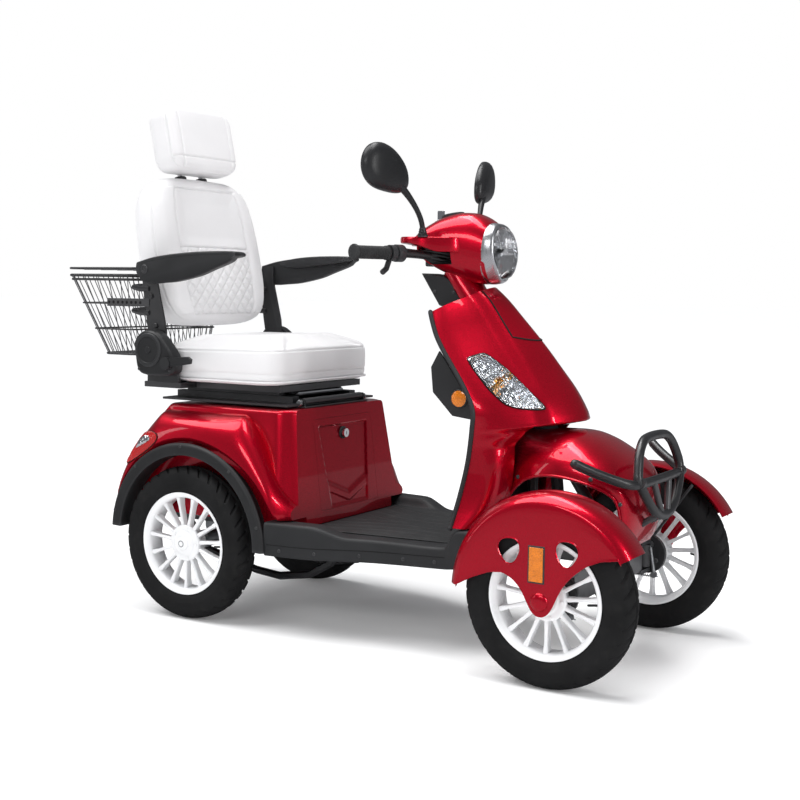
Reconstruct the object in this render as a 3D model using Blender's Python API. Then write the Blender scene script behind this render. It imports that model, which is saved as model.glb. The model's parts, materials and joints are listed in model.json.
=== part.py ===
"""Four-wheeled mobility scooter with a captain's seat, a rear basket and mirrors.

Metres. +X is forward, +Y the rider's left and +Z up. The origin is on the ground
under the middle of the object's length and width. Each moving group of pieces
hangs from an empty on its joint's axis.
"""

import math

import bpy
import bmesh
from mathutils import Matrix, Vector

# Driving dimensions
TYRE_RADIUS = 0.205
RIM_FLANGE_RADIUS = 0.1375
RIM_BARREL_RADIUS = 0.128
RIM_HALF_WIDTH = 0.0335
WHEEL_SIDES = 20
SPOKES = 10
REAR_AXLE_X = -0.374
WHEELBASE = 1.075
FRONT_AXLE_X = REAR_AXLE_X + WHEELBASE
REAR_HALF_TRACK = 0.284
FRONT_HALF_TRACK = 0.316
AXLE_Z = TYRE_RADIUS
KINGPIN_Y = 0.25

FLOOR_Z = 0.265
DECK_Z = 0.57
BODY_SKIN = 0.004
ARCH_CENTRE = (REAR_AXLE_X + 0.010, AXLE_Z + 0.009)
ARCH_EDGE_RADIUS = 0.2645
FACE_TOP_X = -0.080
FACE_SLOPE = 0.12
DOOR_HALF_WIDTH = 0.138
DOOR_LOW_Z = 0.300
DOOR_HIGH_Z = 0.540

STEER_RAKE = math.radians(33.5)
STEER_POINT = Vector((0.270, 0.0, 0.950))
STEER_AXIS = Vector((-math.sin(STEER_RAKE), 0.0, math.cos(STEER_RAKE)))

SEAT_HINGE = Vector((-0.110, 0.0, 0.5865))
RECLINE_PIVOT = Vector((-0.500, 0.0, 0.700))
ARM_PIVOT = Vector((-0.526, 0.0, 0.934))
LID_HINGE = Vector((-0.634, 0.0, 0.938))
BACK_LEAN = math.radians(12.0)
GAP = 0.0005
LAMP_GAP = 0.0012

COLOURS = {
    "red_paint": ((0.55, 0.005, 0.03), 0.15, 0.35),
    "black_plastic": ((0.035, 0.036, 0.038), 0.50, 0.0),
    "black_steel": ((0.02, 0.02, 0.022), 0.40, 0.6),
    "floor_rubber": ((0.05, 0.052, 0.055), 0.70, 0.0),
    "tyre_rubber": ((0.02, 0.02, 0.021), 0.75, 0.0),
    "white_rim": ((0.85, 0.85, 0.86), 0.35, 0.0),
    "white_leather": ((0.88, 0.87, 0.88), 0.50, 0.0),
    "clear_lens": ((0.80, 0.82, 0.84), 0.10, 0.0),
    "tail_lens": ((0.60, 0.05, 0.05), 0.12, 0.0),
    "machined_steel": ((0.60, 0.61, 0.63), 0.30, 1.0),
    "battery_case": ((0.10, 0.10, 0.11), 0.60, 0.0),
}


# Small helpers

def clear_scene():
    for item in list(bpy.data.objects):
        bpy.data.objects.remove(item)


def lerp(low, high, share):
    return low + (high - low) * share


def ease(value, low, high):
    share = min(max((value - low) / (high - low), 0.0), 1.0)
    return share * share * (3.0 - 2.0 * share)


def material(name):
    found = bpy.data.materials.get(name)
    if found:
        return found
    colour, roughness, metallic = COLOURS[name]
    made = bpy.data.materials.new(name)
    made.use_nodes = True
    shader = made.node_tree.nodes["Principled BSDF"]
    shader.inputs["Base Color"].default_value = (*colour, 1.0)
    shader.inputs["Roughness"].default_value = roughness
    shader.inputs["Metallic"].default_value = metallic
    made.diffuse_color = (*colour, 1.0)
    return made


def raw(points, faces):
    """A mesh object with outward faces, not yet named."""
    mesh = bpy.data.meshes.new("shape")
    mesh.from_pydata([tuple(point) for point in points], [], faces)
    work = bmesh.new()
    work.from_mesh(mesh)
    bmesh.ops.remove_doubles(work, verts=work.verts, dist=1e-6)
    bmesh.ops.recalc_face_normals(work, faces=work.faces)
    work.to_mesh(mesh)
    work.free()
    shape = bpy.data.objects.new("shape", mesh)
    bpy.context.scene.collection.objects.link(shape)
    return shape


def evaluated_mesh(shape):
    bpy.context.view_layer.update()
    graph = bpy.context.evaluated_depsgraph_get()
    return bpy.data.meshes.new_from_object(shape.evaluated_get(graph))


def bake(shape):
    """Applies the shape's modifiers."""
    mesh = evaluated_mesh(shape)
    shape.modifiers.clear()
    shape.data = mesh
    return shape


def combine(base, tools, operation):
    for tool in tools:
        step = base.modifiers.new("step", "BOOLEAN")
        step.operation = operation
        step.solver = "EXACT"
        step.object = tool
    bake(base)
    for tool in tools:
        bpy.data.objects.remove(tool)
    return base


def fused(*shapes):
    return combine(shapes[0], shapes[1:], "UNION")


def carved(base, *tools):
    return combine(base, tools, "DIFFERENCE")


def mirrored(shape):
    """A copy on the other side of the plane y = 0."""
    mesh = shape.data.copy()
    mesh.transform(Matrix.Diagonal((1.0, -1.0, 1.0, 1.0)))
    mesh.flip_normals()
    copy = bpy.data.objects.new("shape", mesh)
    bpy.context.scene.collection.objects.link(copy)
    return copy


def moved(shape, matrix):
    shape.data.transform(matrix)
    return shape


def finish(shape, name, colour, pivot=None):
    """Names the piece, gives it its material and hangs it from its joint's empty."""
    shape.name = name
    shape.data.name = name
    shape.data.materials.clear()
    shape.data.materials.append(material(colour))
    shape.data.shade_smooth()
    shape.data.set_sharp_from_angle(angle=math.radians(35))
    if pivot:
        bpy.context.view_layer.update()
        shape.parent = pivot
        shape.matrix_parent_inverse = pivot.matrix_world.inverted()
    return shape


def joint_empty(name, place, parent=None):
    empty = bpy.data.objects.new(name, None)
    bpy.context.scene.collection.objects.link(empty)
    empty.location = place
    if parent:
        bpy.context.view_layer.update()
        empty.parent = parent
        empty.matrix_parent_inverse = parent.matrix_world.inverted()
    return empty


# Shape makers

def box(low, high):
    points = [(x, y, z) for x in (low[0], high[0]) for y in (low[1], high[1])
              for z in (low[2], high[2])]
    faces = [(0, 1, 3, 2), (4, 6, 7, 5), (0, 4, 5, 1), (2, 3, 7, 6), (0, 2, 6, 4), (1, 5, 7, 3)]
    return raw(points, faces)


def loft(rings, closed=False):
    """Skins rings of equal length; the two end rings are capped unless the loft is closed."""
    count = len(rings[0])
    points = [point for ring in rings for point in ring]
    faces = []
    for row in range(len(rings) if closed else len(rings) - 1):
        here = row * count
        there = (row + 1) % len(rings) * count
        for column in range(count):
            after = (column + 1) % count
            faces.append((here + column, here + after, there + after, there + column))
    if not closed:
        faces.append(tuple(range(count)))
        faces.append(tuple(range(len(points) - count, len(points))))
    return raw(points, faces)


def prism(outline, axis, low, high):
    """An outline of two coordinates, drawn along the third axis."""
    def place(pair, depth):
        full = list(pair)
        full.insert("XYZ".index(axis), depth)
        return tuple(full)
    return loft([[place(pair, low) for pair in outline], [place(pair, high) for pair in outline]])


def skin(grid, thickness):
    """An open grid of points thickened to one side into a closed shell."""
    width = len(grid[0])
    points = [point for row in grid for point in row]
    faces = [(row * width + column, row * width + column + 1,
              (row + 1) * width + column + 1, (row + 1) * width + column)
             for row in range(len(grid) - 1) for column in range(width - 1)]
    mesh = bpy.data.meshes.new("shape")
    mesh.from_pydata([tuple(point) for point in points], [], faces)
    shape = bpy.data.objects.new("shape", mesh)
    bpy.context.scene.collection.objects.link(shape)
    wall = shape.modifiers.new("wall", "SOLIDIFY")
    wall.thickness = abs(thickness)
    wall.offset = -1.0 if thickness > 0 else 1.0
    wall.use_even_offset = True
    bake(shape)
    work = bmesh.new()
    work.from_mesh(shape.data)
    bmesh.ops.recalc_face_normals(work, faces=work.faces)
    work.to_mesh(shape.data)
    work.free()
    return shape


def circle(centre, radius, sides, axis="Y", start=0.0):
    points = []
    for index in range(sides):
        angle = start + 2.0 * math.pi * index / sides
        pair = [radius * math.cos(angle), radius * math.sin(angle)]
        pair.insert("XYZ".index(axis), 0.0)
        points.append(Vector(centre) + Vector(pair))
    return points


def cylinder(centre, radius, sides, axis, low, high):
    """A round bar about an axis through centre, between two places along that axis."""
    rings = []
    for depth in (low, high):
        middle = Vector(centre)
        middle["XYZ".index(axis)] = depth
        rings.append(circle(middle, radius, sides, axis, math.pi / sides))
    return loft(rings)


def turned(profile, sides, centre, side=1.0):
    """A ring turned about an axle along Y from (radius, y) pairs; the flats are at the bottom."""
    grow = 1.0 / math.cos(math.pi / sides)
    rings = []
    for index in range(sides):
        angle = 2.0 * math.pi * (index + 0.5) / sides
        rings.append([(centre[0] + radius * grow * math.cos(angle), centre[1] + side * depth,
                       centre[2] + radius * grow * math.sin(angle)) for radius, depth in profile])
    return loft(rings, closed=True)


def arc_bar(profile, centre, first, last, steps):
    """A bar swept about a crosswise line from (radius, y) pairs, between two angles."""
    rings = []
    for index in range(steps + 1):
        angle = math.radians(lerp(first, last, index / steps))
        rings.append([(centre[0] + radius * math.cos(angle), depth,
                       centre[1] + radius * math.sin(angle)) for radius, depth in profile])
    return loft(rings)


def tube(path, radius, sides=8, closed=False):
    """A round bar along a path of points, mitred at each corner."""
    path = [Vector(point) for point in path]
    count = len(path)
    rings = []
    across = None
    for index, point in enumerate(path):
        if closed:
            before = point - path[index - 1]
            after = path[(index + 1) % count] - point
        else:
            before = point - path[index - 1] if index else path[1] - point
            after = path[index + 1] - point if index < count - 1 else before
        tangent = (before.normalized() + after.normalized()).normalized()
        if across is None:
            seed = Vector((0, 1, 0)) if abs(tangent.y) < 0.8 else Vector((1, 0, 0))
            across = tangent.cross(seed).normalized()
        across = (across - tangent * across.dot(tangent)).normalized()
        other = tangent.cross(across)
        stretch = 1.0 / max(tangent.dot(before.normalized()), 0.6)
        bend = (after.normalized() - before.normalized())
        ring = []
        for step in range(sides):
            angle = 2.0 * math.pi * step / sides
            arm = across * math.cos(angle) + other * math.sin(angle)
            if bend.length > 0.05:
                inward = (bend - tangent * bend.dot(tangent)).normalized()
                arm += inward * arm.dot(inward) * (stretch - 1.0)
            ring.append(point + arm * radius)
        rings.append(ring)
    return loft(rings, closed)


def rounded(half_x, half_y, radius, steps=3):
    """The corners of a rounded rectangle, as (x, y) pairs, anticlockwise."""
    pairs = []
    for corner, (sign_x, sign_y) in enumerate(((1, 1), (-1, 1), (-1, -1), (1, -1))):
        for step in range(steps + 1):
            angle = math.radians(90.0 * (corner + step / steps))
            pairs.append((sign_x * (half_x - radius) + radius * math.cos(angle),
                          sign_y * (half_y - radius) + radius * math.sin(angle)))
    return pairs


# Wheels and running gear

TYRE_PROFILE = [
    (0.1284, -0.0295), (0.1382, -0.0295), (0.1480, -0.0362), (0.1680, -0.0380),
    (0.1900, -0.0345), (TYRE_RADIUS, -0.0140), (TYRE_RADIUS, 0.0140), (0.1900, 0.0345),
    (0.1680, 0.0380), (0.1480, 0.0362), (0.1382, 0.0295), (0.1284, 0.0295),
]
BARREL_PROFILE = [
    (RIM_BARREL_RADIUS, -0.0300), (RIM_FLANGE_RADIUS, -0.0300),
    (RIM_FLANGE_RADIUS, -RIM_HALF_WIDTH), (0.1220, -RIM_HALF_WIDTH),
    (0.1220, RIM_HALF_WIDTH), (RIM_FLANGE_RADIUS, RIM_HALF_WIDTH),
    (RIM_FLANGE_RADIUS, 0.0300), (RIM_BARREL_RADIUS, 0.0300),
]
HUB_PROFILE = [(0.0107, -0.028), (0.034, -0.028), (0.034, 0.030), (0.0107, 0.030)]
SPINDLE_RADIUS = 0.010


def make_rim(centre, side):
    barrel = turned(BARREL_PROFILE, WHEEL_SIDES, centre, side)
    hub = turned(HUB_PROFILE, WHEEL_SIDES // 2, centre, side)
    spokes = []
    for index in range(SPOKES):
        spoke = box((0.028, -0.006, -0.005), (0.1245, 0.012, 0.005))
        angle = 2.0 * math.pi * (index + 0.5) / SPOKES
        spin = Matrix.Rotation(-angle, 4, "Y")
        place = Matrix.Translation(centre) @ Matrix.Diagonal((1.0, side, 1.0, 1.0)) @ spin
        moved(spoke, place)
        if side < 0:
            spoke.data.flip_normals()
        spokes.append(spoke)
    return fused(barrel, hub, *spokes)


def make_wheel(where, side_name, axle_x, half_track, parent=None):
    side = 1.0 if side_name == "left" else -1.0
    centre = (axle_x, side * half_track, AXLE_Z)
    pivot = joint_empty(f"{where}_wheel_{side_name}_pivot", centre, parent)
    finish(turned(TYRE_PROFILE, WHEEL_SIDES, centre, side), f"{where}_tyre_{side_name}",
           "tyre_rubber", pivot)
    finish(make_rim(centre, side), f"{where}_rim_{side_name}", "white_rim", pivot)


def make_drive_unit():
    axle = (REAR_AXLE_X, 0.0, AXLE_Z)
    unit = fused(
        cylinder(axle, 0.024, 12, "Y", -0.236, 0.236),
        cylinder(axle, 0.062, 16, "Y", -0.055, 0.055),
        cylinder((0.0, 0.0, AXLE_Z), 0.045, 16, "X", REAR_AXLE_X - 0.150, REAR_AXLE_X - 0.010),
        cylinder(axle, SPINDLE_RADIUS, 12, "Y", -0.322, 0.322),
        box((REAR_AXLE_X - 0.020, 0.129, AXLE_Z + 0.010), (REAR_AXLE_X + 0.020, 0.151, 0.2355)),
        box((REAR_AXLE_X - 0.020, -0.151, AXLE_Z + 0.010), (REAR_AXLE_X + 0.020, -0.129, 0.2355)),
    )
    finish(unit, "drive_unit", "black_steel")


def steer_point(distance, radius=0.0, angle=0.0):
    """A place on a circle about the steering axis, this far below its reference point."""
    across = Vector((0.0, 1.0, 0.0))
    ahead = across.cross(STEER_AXIS)
    arm = ahead * math.cos(angle) + across * math.sin(angle)
    return STEER_POINT - STEER_AXIS * distance + arm * radius


def steer_bar(first, last, radius, sides, radius_across=None):
    across = radius_across or radius
    rings = []
    for distance in (first, last):
        ring = []
        for index in range(sides):
            angle = 2.0 * math.pi * index / sides
            ahead = steer_point(distance, radius * math.cos(angle))
            ring.append(ahead + Vector((0.0, across * math.sin(angle), 0.0)))
        rings.append(ring)
    return loft(rings)


HEAD_TUBE = (0.36, 0.58)
STEM = (0.021, 0.74)
STEM_RADIUS = 0.014
TOWER_FOOT = (0.50, 0.0, 0.245)
TOWER_TOP = 0.42
TOWER_RADIUS = 0.014
RAIL_LOW_Z = 0.2365
RAIL_HIGH_Z = 0.2600


def make_main_frame():
    rails = [box((-0.56, side * 0.14 - 0.0125, RAIL_LOW_Z), (0.52, side * 0.14 + 0.0125, RAIL_HIGH_Z))
             for side in (-1, 1)]
    crosses = [box((x - 0.012, -0.153, 0.2375), (x + 0.012, 0.153, 0.2590))
               for x in (-0.54, -0.18, 0.18, 0.50)]
    crosses.append(box((-0.133, -0.196, 0.2380), (-0.111, 0.196, 0.2585)))
    posts = [box((-0.132, side * 0.184 - 0.010, 0.240), (-0.112, side * 0.184 + 0.010, 0.564))
             for side in (-1, 1)]
    posts += [box((-0.497, side * 0.140 - 0.010, 0.240), (-0.477, side * 0.140 + 0.010, 0.540))
              for side in (-1, 1)]
    backbone = box((0.49, -0.028, 0.2285), (0.70, 0.028, 0.2570))
    beam = box((FRONT_AXLE_X - 0.012, -0.212, 0.170), (FRONT_AXLE_X + 0.012, 0.212, 0.240))
    ears = []
    pins = []
    for side in (-1, 1):
        for low in (0.163, 0.236):
            ears.append(box((FRONT_AXLE_X - 0.016, side * 0.231 - 0.031, low),
                            (FRONT_AXLE_X + 0.016, side * 0.231 + 0.031, low + 0.010)))
        pins.append(cylinder((FRONT_AXLE_X, side * KINGPIN_Y, 0.0), 0.0093, 12, "Z", 0.158, 0.252))
    guards = [tube([(0.05, side * 0.115, 0.250), (-0.03, side * 0.115, 0.160),
                    (-0.10, side * 0.115, 0.120), (-0.20, side * 0.115, 0.103),
                    (-0.28, side * 0.115, 0.110), (-0.46, side * 0.115, 0.150),
                    (-0.54, side * 0.115, 0.250)], 0.011, 6) for side in (-1, 1)]
    strut = tube([(0.585, 0.0, 0.245), steer_point(0.52)], 0.016, 8)
    tower = tube([TOWER_FOOT, steer_point(TOWER_TOP)], TOWER_RADIUS, 8)
    head = steer_bar(*HEAD_TUBE, 0.026, 16)
    frame = fused(backbone, *rails, *crosses, *posts, beam, *ears, *pins, *guards, strut, tower,
                  head)
    carved(frame, steer_bar(HEAD_TUBE[0] - 0.02, STEM[1] + 0.06, STEM_RADIUS + 0.0015, 16))
    finish(frame, "main_frame", "black_steel")


def make_knuckle(side_name, parent):
    side = 1.0 if side_name == "left" else -1.0
    middle = side * KINGPIN_Y
    sleeve = cylinder((FRONT_AXLE_X, middle, 0.0), 0.019, 16, "Z", 0.1765, 0.2335)
    plate_low, plate_high = sorted((side * 0.2715, side * 0.2785))
    spindle_low, spindle_high = sorted((side * 0.2620, side * 0.3615))
    arm_low, arm_high = sorted((side * 0.230, side * 0.247))
    knuckle = fused(
        sleeve,
        cylinder((FRONT_AXLE_X, 0.0, AXLE_Z), 0.013, 12, "Y", *sorted((side * 0.262, side * 0.275))),
        cylinder((FRONT_AXLE_X, 0.0, AXLE_Z), 0.052, 20, "Y", plate_low, plate_high),
        cylinder((FRONT_AXLE_X, 0.0, AXLE_Z), SPINDLE_RADIUS, 12, "Y", spindle_low, spindle_high),
        box((FRONT_AXLE_X - 0.088, arm_low, 0.199), (FRONT_AXLE_X - 0.010, arm_high, 0.209)),
    )
    carved(knuckle, cylinder((FRONT_AXLE_X, middle, 0.0), 0.0102, 12, "Z", 0.16, 0.25))
    finish(knuckle, f"knuckle_{side_name}", "black_steel", parent)


def make_tie_rod():
    rod_x = FRONT_AXLE_X - 0.080
    parts = [tube([(rod_x, -0.238, 0.187), (rod_x, 0.238, 0.187)], 0.007, 8)]
    for side in (-1, 1):
        parts.append(cylinder((rod_x, side * 0.2385, 0.0), 0.011, 10, "Z", 0.179, 0.195))
    finish(fused(*parts), "tie_rod", "machined_steel",
           joint_empty("tie_rod_pivot", (rod_x, 0.0, 0.187)))


FENDER_FACE_Y = 0.368
FENDER_FIRST, FENDER_LAST = 30.0, 177.0
FENDER_RIDGE = [(0.268, 0.2335), (0.292, 0.2400), (0.322, 0.2410), (0.347, 0.2365), (0.362, 0.2270)]
FENDER_FACE_RADIUS = 0.2140
# The side plate's lower edge, from the front tip over the hub to the rear tip
FENDER_LOWER_EDGE = [(0.190, 0.113), (0.140, 0.108), (0.105, 0.092), (0.053, 0.047), (0.031, 0.014),
                     (0.020, -0.018), (0.0, -0.033), (-0.026, -0.022), (-0.040, 0.010),
                     (-0.070, 0.046), (-0.110, 0.058), (-0.160, 0.040), (-0.2135, 0.004)]


def follow(edge, place):
    """The height of a falling or rising line of (place, height) pairs at a place."""
    for (start, high), (end, low) in zip(edge, edge[1:]):
        if end <= place <= start:
            return lerp(high, low, (start - place) / (start - end))
    return edge[0][1] if place > edge[0][0] else edge[-1][1]


def make_fender(side_name, parent):
    side = 1.0 if side_name == "left" else -1.0
    steps = 20
    grid = []
    for index in range(steps + 1):
        angle = math.radians(lerp(FENDER_FIRST, FENDER_LAST, index / steps))
        row = [(FRONT_AXLE_X + radius * math.cos(angle), side * depth,
                AXLE_Z + radius * math.sin(angle)) for depth, radius in FENDER_RIDGE]
        ahead = FENDER_FACE_RADIUS * math.cos(angle)
        top = FENDER_FACE_RADIUS * math.sin(angle)
        foot = min(follow(FENDER_LOWER_EDGE, ahead), top - 0.006)
        for share in (0.0, 0.5, 1.0):
            row.append((FRONT_AXLE_X + ahead, side * FENDER_FACE_Y,
                        AXLE_Z + lerp(top, foot, share)))
        grid.append(row)
    shell = skin(grid, 0.004 * side)
    low, high = sorted((side * 0.355, side * 0.375))
    holes = [cylinder((FRONT_AXLE_X + ahead, 0.0, AXLE_Z + up), 0.026, 14, "Y", low, high)
             for ahead, up in ((0.060, 0.114), (-0.080, 0.108))]
    finish(carved(shell, *holes), f"front_fender_{side_name}", "red_paint", parent)


# Chassis covers

def floor_row(x, half, top, low, raised):
    sides = [(half, low), (half, top + raised - 0.010), (half - 0.011, top + raised),
             (0.845 * half, top + raised), (0.768 * half, top), (0.40 * half, top)]
    return ([(x, -y, z) for y, z in sides] + [(x, 0.0, top)]
            + [(x, y, z) for y, z in reversed(sides)])


def make_floor_pan():
    stations = [
        # x, half-width, top, skirt's lower edge
        (-0.106, 0.311, FLOOR_Z, 0.203), (-0.030, 0.304, FLOOR_Z, 0.203),
        (0.030, 0.298, FLOOR_Z, 0.204), (0.080, 0.281, FLOOR_Z, 0.205),
        (0.150, 0.254, FLOOR_Z, 0.206), (0.220, 0.242, FLOOR_Z, 0.208),
        (0.375, 0.236, FLOOR_Z, 0.213), (0.388, 0.236, FLOOR_Z + 0.008, 0.214),
        (0.404, 0.236, 0.3135, 0.216), (0.444, 0.235, 0.3135, 0.226),
    ]
    grid = [floor_row(x, half, top, low, 0.025 * (1.0 - ease(x, 0.02, 0.12)))
            for x, half, top, low in stations]
    finish(skin(grid, -0.004), "floor_pan", "black_plastic")
    outline = [(-0.036, -0.215), (0.060, -0.205), (0.120, -0.188), (0.366, -0.176),
               (0.366, 0.176), (0.120, 0.188), (0.060, 0.205), (-0.036, 0.215)]
    finish(prism(outline, "Z", FLOOR_Z + GAP, FLOOR_Z + 0.004), "floor_mat", "floor_rubber")


def arch_edge(x):
    reach = ARCH_EDGE_RADIUS ** 2 - (x - ARCH_CENTRE[0]) ** 2
    return ARCH_CENTRE[1] + math.sqrt(max(reach, 0.0))


def body_half_ring(x, inset=0.0):
    """Half of the rear body's cross-section, from the middle of the floor to the middle of the deck."""
    rear = min(max((-x - 0.485) / 0.130, 0.0), 1.0)
    deck = DECK_Z - 0.120 * rear - 0.105 * (1.0 - math.sqrt(1.0 - rear * rear))
    floor = 0.268
    edge = max(arch_edge(x), 0.294) if x > REAR_AXLE_X - 0.26 else arch_edge(REAR_AXLE_X - 0.255)
    edge = min(edge, deck - 0.030)
    crease_z = lerp(0.318, 0.553, ease(x, -0.060, -0.225)) if x > -0.225 else 0.553
    crease_z = min(crease_z, deck - 0.017)
    crease_z = max(crease_z, edge + 0.022)
    crease_y = lerp(0.238, 0.268, ease(crease_z, 0.553, 0.330))
    shoulder_y = lerp(0.236, 0.250, rear)
    narrow = 1.0 - 0.12 * ease(x, -0.125, -0.075)
    pairs = [(0.0, floor), (0.232, floor), (0.235, edge), (0.303, edge), (0.310, edge + 0.010)]
    for share in (0.38, 0.72):
        turn = math.radians(90.0 * share)
        pairs.append((crease_y + (0.310 - crease_y) * math.cos(turn),
                      lerp(edge + 0.010, crease_z, math.sin(turn))))
    pairs.append((crease_y, crease_z))
    pairs.append((min(shoulder_y, crease_y - 0.001), deck - 0.011))
    pairs.append((shoulder_y - 0.014, deck))
    pairs.append((0.0, deck))
    pairs = [(y * narrow, z) for y, z in pairs]
    if not inset:
        return pairs
    moved_pairs = []
    for index, (y, z) in enumerate(pairs):
        before = pairs[max(index - 1, 0)]
        after = pairs[min(index + 1, len(pairs) - 1)]
        normals = []
        for (y0, z0), (y1, z1) in ((before, (y, z)), ((y, z), after)):
            length = math.hypot(y1 - y0, z1 - z0)
            if length > 1e-6:
                normals.append(((z1 - z0) / length, -(y1 - y0) / length))
        sum_y = sum(normal[0] for normal in normals)
        sum_z = sum(normal[1] for normal in normals)
        scale = inset * len(normals) / max(sum_y ** 2 + sum_z ** 2, 1e-6)
        moved_pairs.append((max(y - sum_y * scale, 0.0), z - sum_z * scale))
    return moved_pairs


def face_x(x, z):
    """Slopes the front of the rear body forward as it goes down."""
    return x + FACE_SLOPE * (DECK_Z - z) * ease(x, -0.33, -0.12)


def body_loft(stations, inset, drop):
    rings = []
    for x, section in stations:
        half = body_half_ring(section, inset)
        if drop:
            half = [(half[0][0], half[0][1] - drop), (half[1][0], half[1][1] - drop)] + half[2:]
        ring = [(face_x(x, z), -y, z) for y, z in half]
        ring += [(face_x(x, z), y, z) for y, z in reversed(half[1:-1])]
        rings.append(ring)
    return loft(rings)


BODY_STATIONS = (-0.612, -0.598, -0.575, -0.545, -0.515, -0.488, -0.440, REAR_AXLE_X, -0.310,
                 -0.255, -0.205, -0.165, -0.130, -0.108, -0.092, FACE_TOP_X)


def door_corner(y, z, back):
    return (face_x(FACE_TOP_X, z) - back, y, z)


def door_slab(grow, front, back):
    half = DOOR_HALF_WIDTH + grow
    low = DOOR_LOW_Z - grow
    high = DOOR_HIGH_Z + grow
    outline = [(-half, low), (half, low), (half, high), (-half, high)]
    return loft([[door_corner(y, z, front) for y, z in outline],
                 [door_corner(y, z, back) for y, z in outline]])


def make_rear_body():
    outer = body_loft([(x, x) for x in BODY_STATIONS], 0.0, 0.0)
    inner = [(x, x) for x in BODY_STATIONS[1:-1]]
    inner = [(-0.607, -0.607)] + inner + [(FACE_TOP_X - BODY_SKIN, FACE_TOP_X - BODY_SKIN)]
    lamps = [tail_lamp(side, -0.04, 0.04, LAMP_GAP) for side in (-1.0, 1.0)]
    shell = carved(outer, body_loft(inner, BODY_SKIN, 0.03), door_slab(GAP, -0.02, 0.02), *lamps)
    finish(shell, "rear_body", "red_paint")


DOOR_LOCK_Z = 0.495
DOOR_LOCK_RADIUS = 0.012


def make_battery_door():
    pivot = joint_empty("battery_door_pivot", (face_x(FACE_TOP_X, DOOR_LOW_Z), 0.0, DOOR_LOW_Z))
    door = door_slab(0.0, 0.0, BODY_SKIN)
    face = face_x(FACE_TOP_X, DOOR_LOCK_Z)
    bore = cylinder((0.0, 0.0, DOOR_LOCK_Z), DOOR_LOCK_RADIUS + 0.0007, 16, "X", face - 0.03, face + 0.03)
    finish(carved(door, bore), "battery_door", "red_paint", pivot)
    lock_pivot = joint_empty("door_lock_pivot", (face, 0.0, DOOR_LOCK_Z), pivot)
    lock = fused(
        cylinder((0.0, 0.0, DOOR_LOCK_Z), DOOR_LOCK_RADIUS, 16, "X", face - 0.022, face + 0.009),
        box((face - 0.020, -0.007, DOOR_LOCK_Z - 0.007), (face - 0.016, 0.048, DOOR_LOCK_Z + 0.007)),
    )
    finish(lock, "door_lock", "machined_steel", lock_pivot)


def make_arch_trim(side_name):
    side = 1.0 if side_name == "left" else -1.0
    profile = [(0.2280, 0.322), (0.2560, 0.325), (0.2615, 0.319), (0.2615, 0.3125), (0.2350, 0.3120),
               (0.2345, 0.2650), (0.2280, 0.2650)]
    profile = [(radius, side * depth) for radius, depth in profile]
    trim = arc_bar(profile, ARCH_CENTRE, -1.0, 176.0, 18)
    finish(trim, f"arch_trim_{side_name}", "black_plastic")


def body_side_y(x, z):
    """How far out the rear body's side is at a place seen from the side."""
    half = body_half_ring(x)[4:-1]
    for (y0, z0), (y1, z1) in zip(half, half[1:]):
        if z0 <= z <= z1:
            return lerp(y0, y1, (z - z0) / (z1 - z0))
    return half[0][0]


TAIL_LAMP = [(-0.594, 0.404), (-0.570, 0.402), (-0.475, 0.462), (-0.462, 0.490), (-0.505, 0.500),
             (-0.548, 0.476), (-0.586, 0.430)]


def tail_lamp(side, low, high, grow=0.0):
    outline = [Vector((x, side * body_side_y(x, z), z)) for x, z in TAIL_LAMP]
    return lamp_plug(outline, Vector((-0.45, side * 0.75, 0.45)).normalized(), low, high, grow)


def make_tail_light(side_name):
    side = 1.0 if side_name == "left" else -1.0
    finish(tail_lamp(side, -0.008, 0.005), f"tail_light_{side_name}", "tail_lens")


# Leg shield, nose and front bar

LEG_STATIONS = [
    # rider-side edge x, z and half-width; spine x and z; fullness of the section
    (0.283, 0.832, 0.140, 0.378, 0.890, 1.45),
    (0.300, 0.800, 0.155, 0.415, 0.862, 1.35),
    (0.323, 0.760, 0.168, 0.456, 0.818, 1.30),
    (0.374, 0.700, 0.183, 0.518, 0.754, 1.28),
    (0.424, 0.637, 0.196, 0.571, 0.687, 1.32),
    (0.443, 0.600, 0.204, 0.607, 0.643, 1.40),
    (0.440, 0.572, 0.203, 0.634, 0.592, 1.50),
    (0.438, 0.558, 0.202, 0.638, 0.572, 1.60),
    (0.436, 0.540, 0.201, 0.575, 0.556, 2.00),
    (0.432, 0.510, 0.200, 0.522, 0.520, 3.00),
    (0.427, 0.470, 0.201, 0.517, 0.472, 4.00),
    (0.417, 0.420, 0.205, 0.512, 0.420, 4.50),
    (0.408, 0.372, 0.214, 0.502, 0.372, 4.50),
    (0.403, 0.340, 0.225, 0.482, 0.340, 4.50),
    (0.400, 0.317, 0.234, 0.456, 0.317, 4.50),
]
LEG_SKIN = 0.0035


def cross_arc(edge, spine, fullness, columns):
    """A section from the right-hand edge over the spine to the left-hand edge."""
    points = []
    for index in range(columns + 1):
        turn = math.pi * index / columns
        power = 2.0 / fullness
        side = -math.copysign(abs(math.cos(turn)) ** power, math.cos(turn))
        ahead = math.sin(turn) ** power
        points.append((lerp(edge[0], spine[0], ahead), side * edge[2], lerp(edge[1], spine[1], ahead)))
    return points


def make_leg_shield():
    grid = [cross_arc((x, z, half), (spine_x, spine_z), fullness, 12)
            for x, z, half, spine_x, spine_z, fullness in LEG_STATIONS]
    shell = skin(grid, -LEG_SKIN)
    window = box((0.25, -0.130, 0.19), (0.75, 0.130, 0.5655))
    lamps = [front_lamp(side, -0.04, 0.04, LAMP_GAP) for side in (-1.0, 1.0)]
    finish(carved(shell, window, *lamps), "leg_shield", "red_paint")


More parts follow.
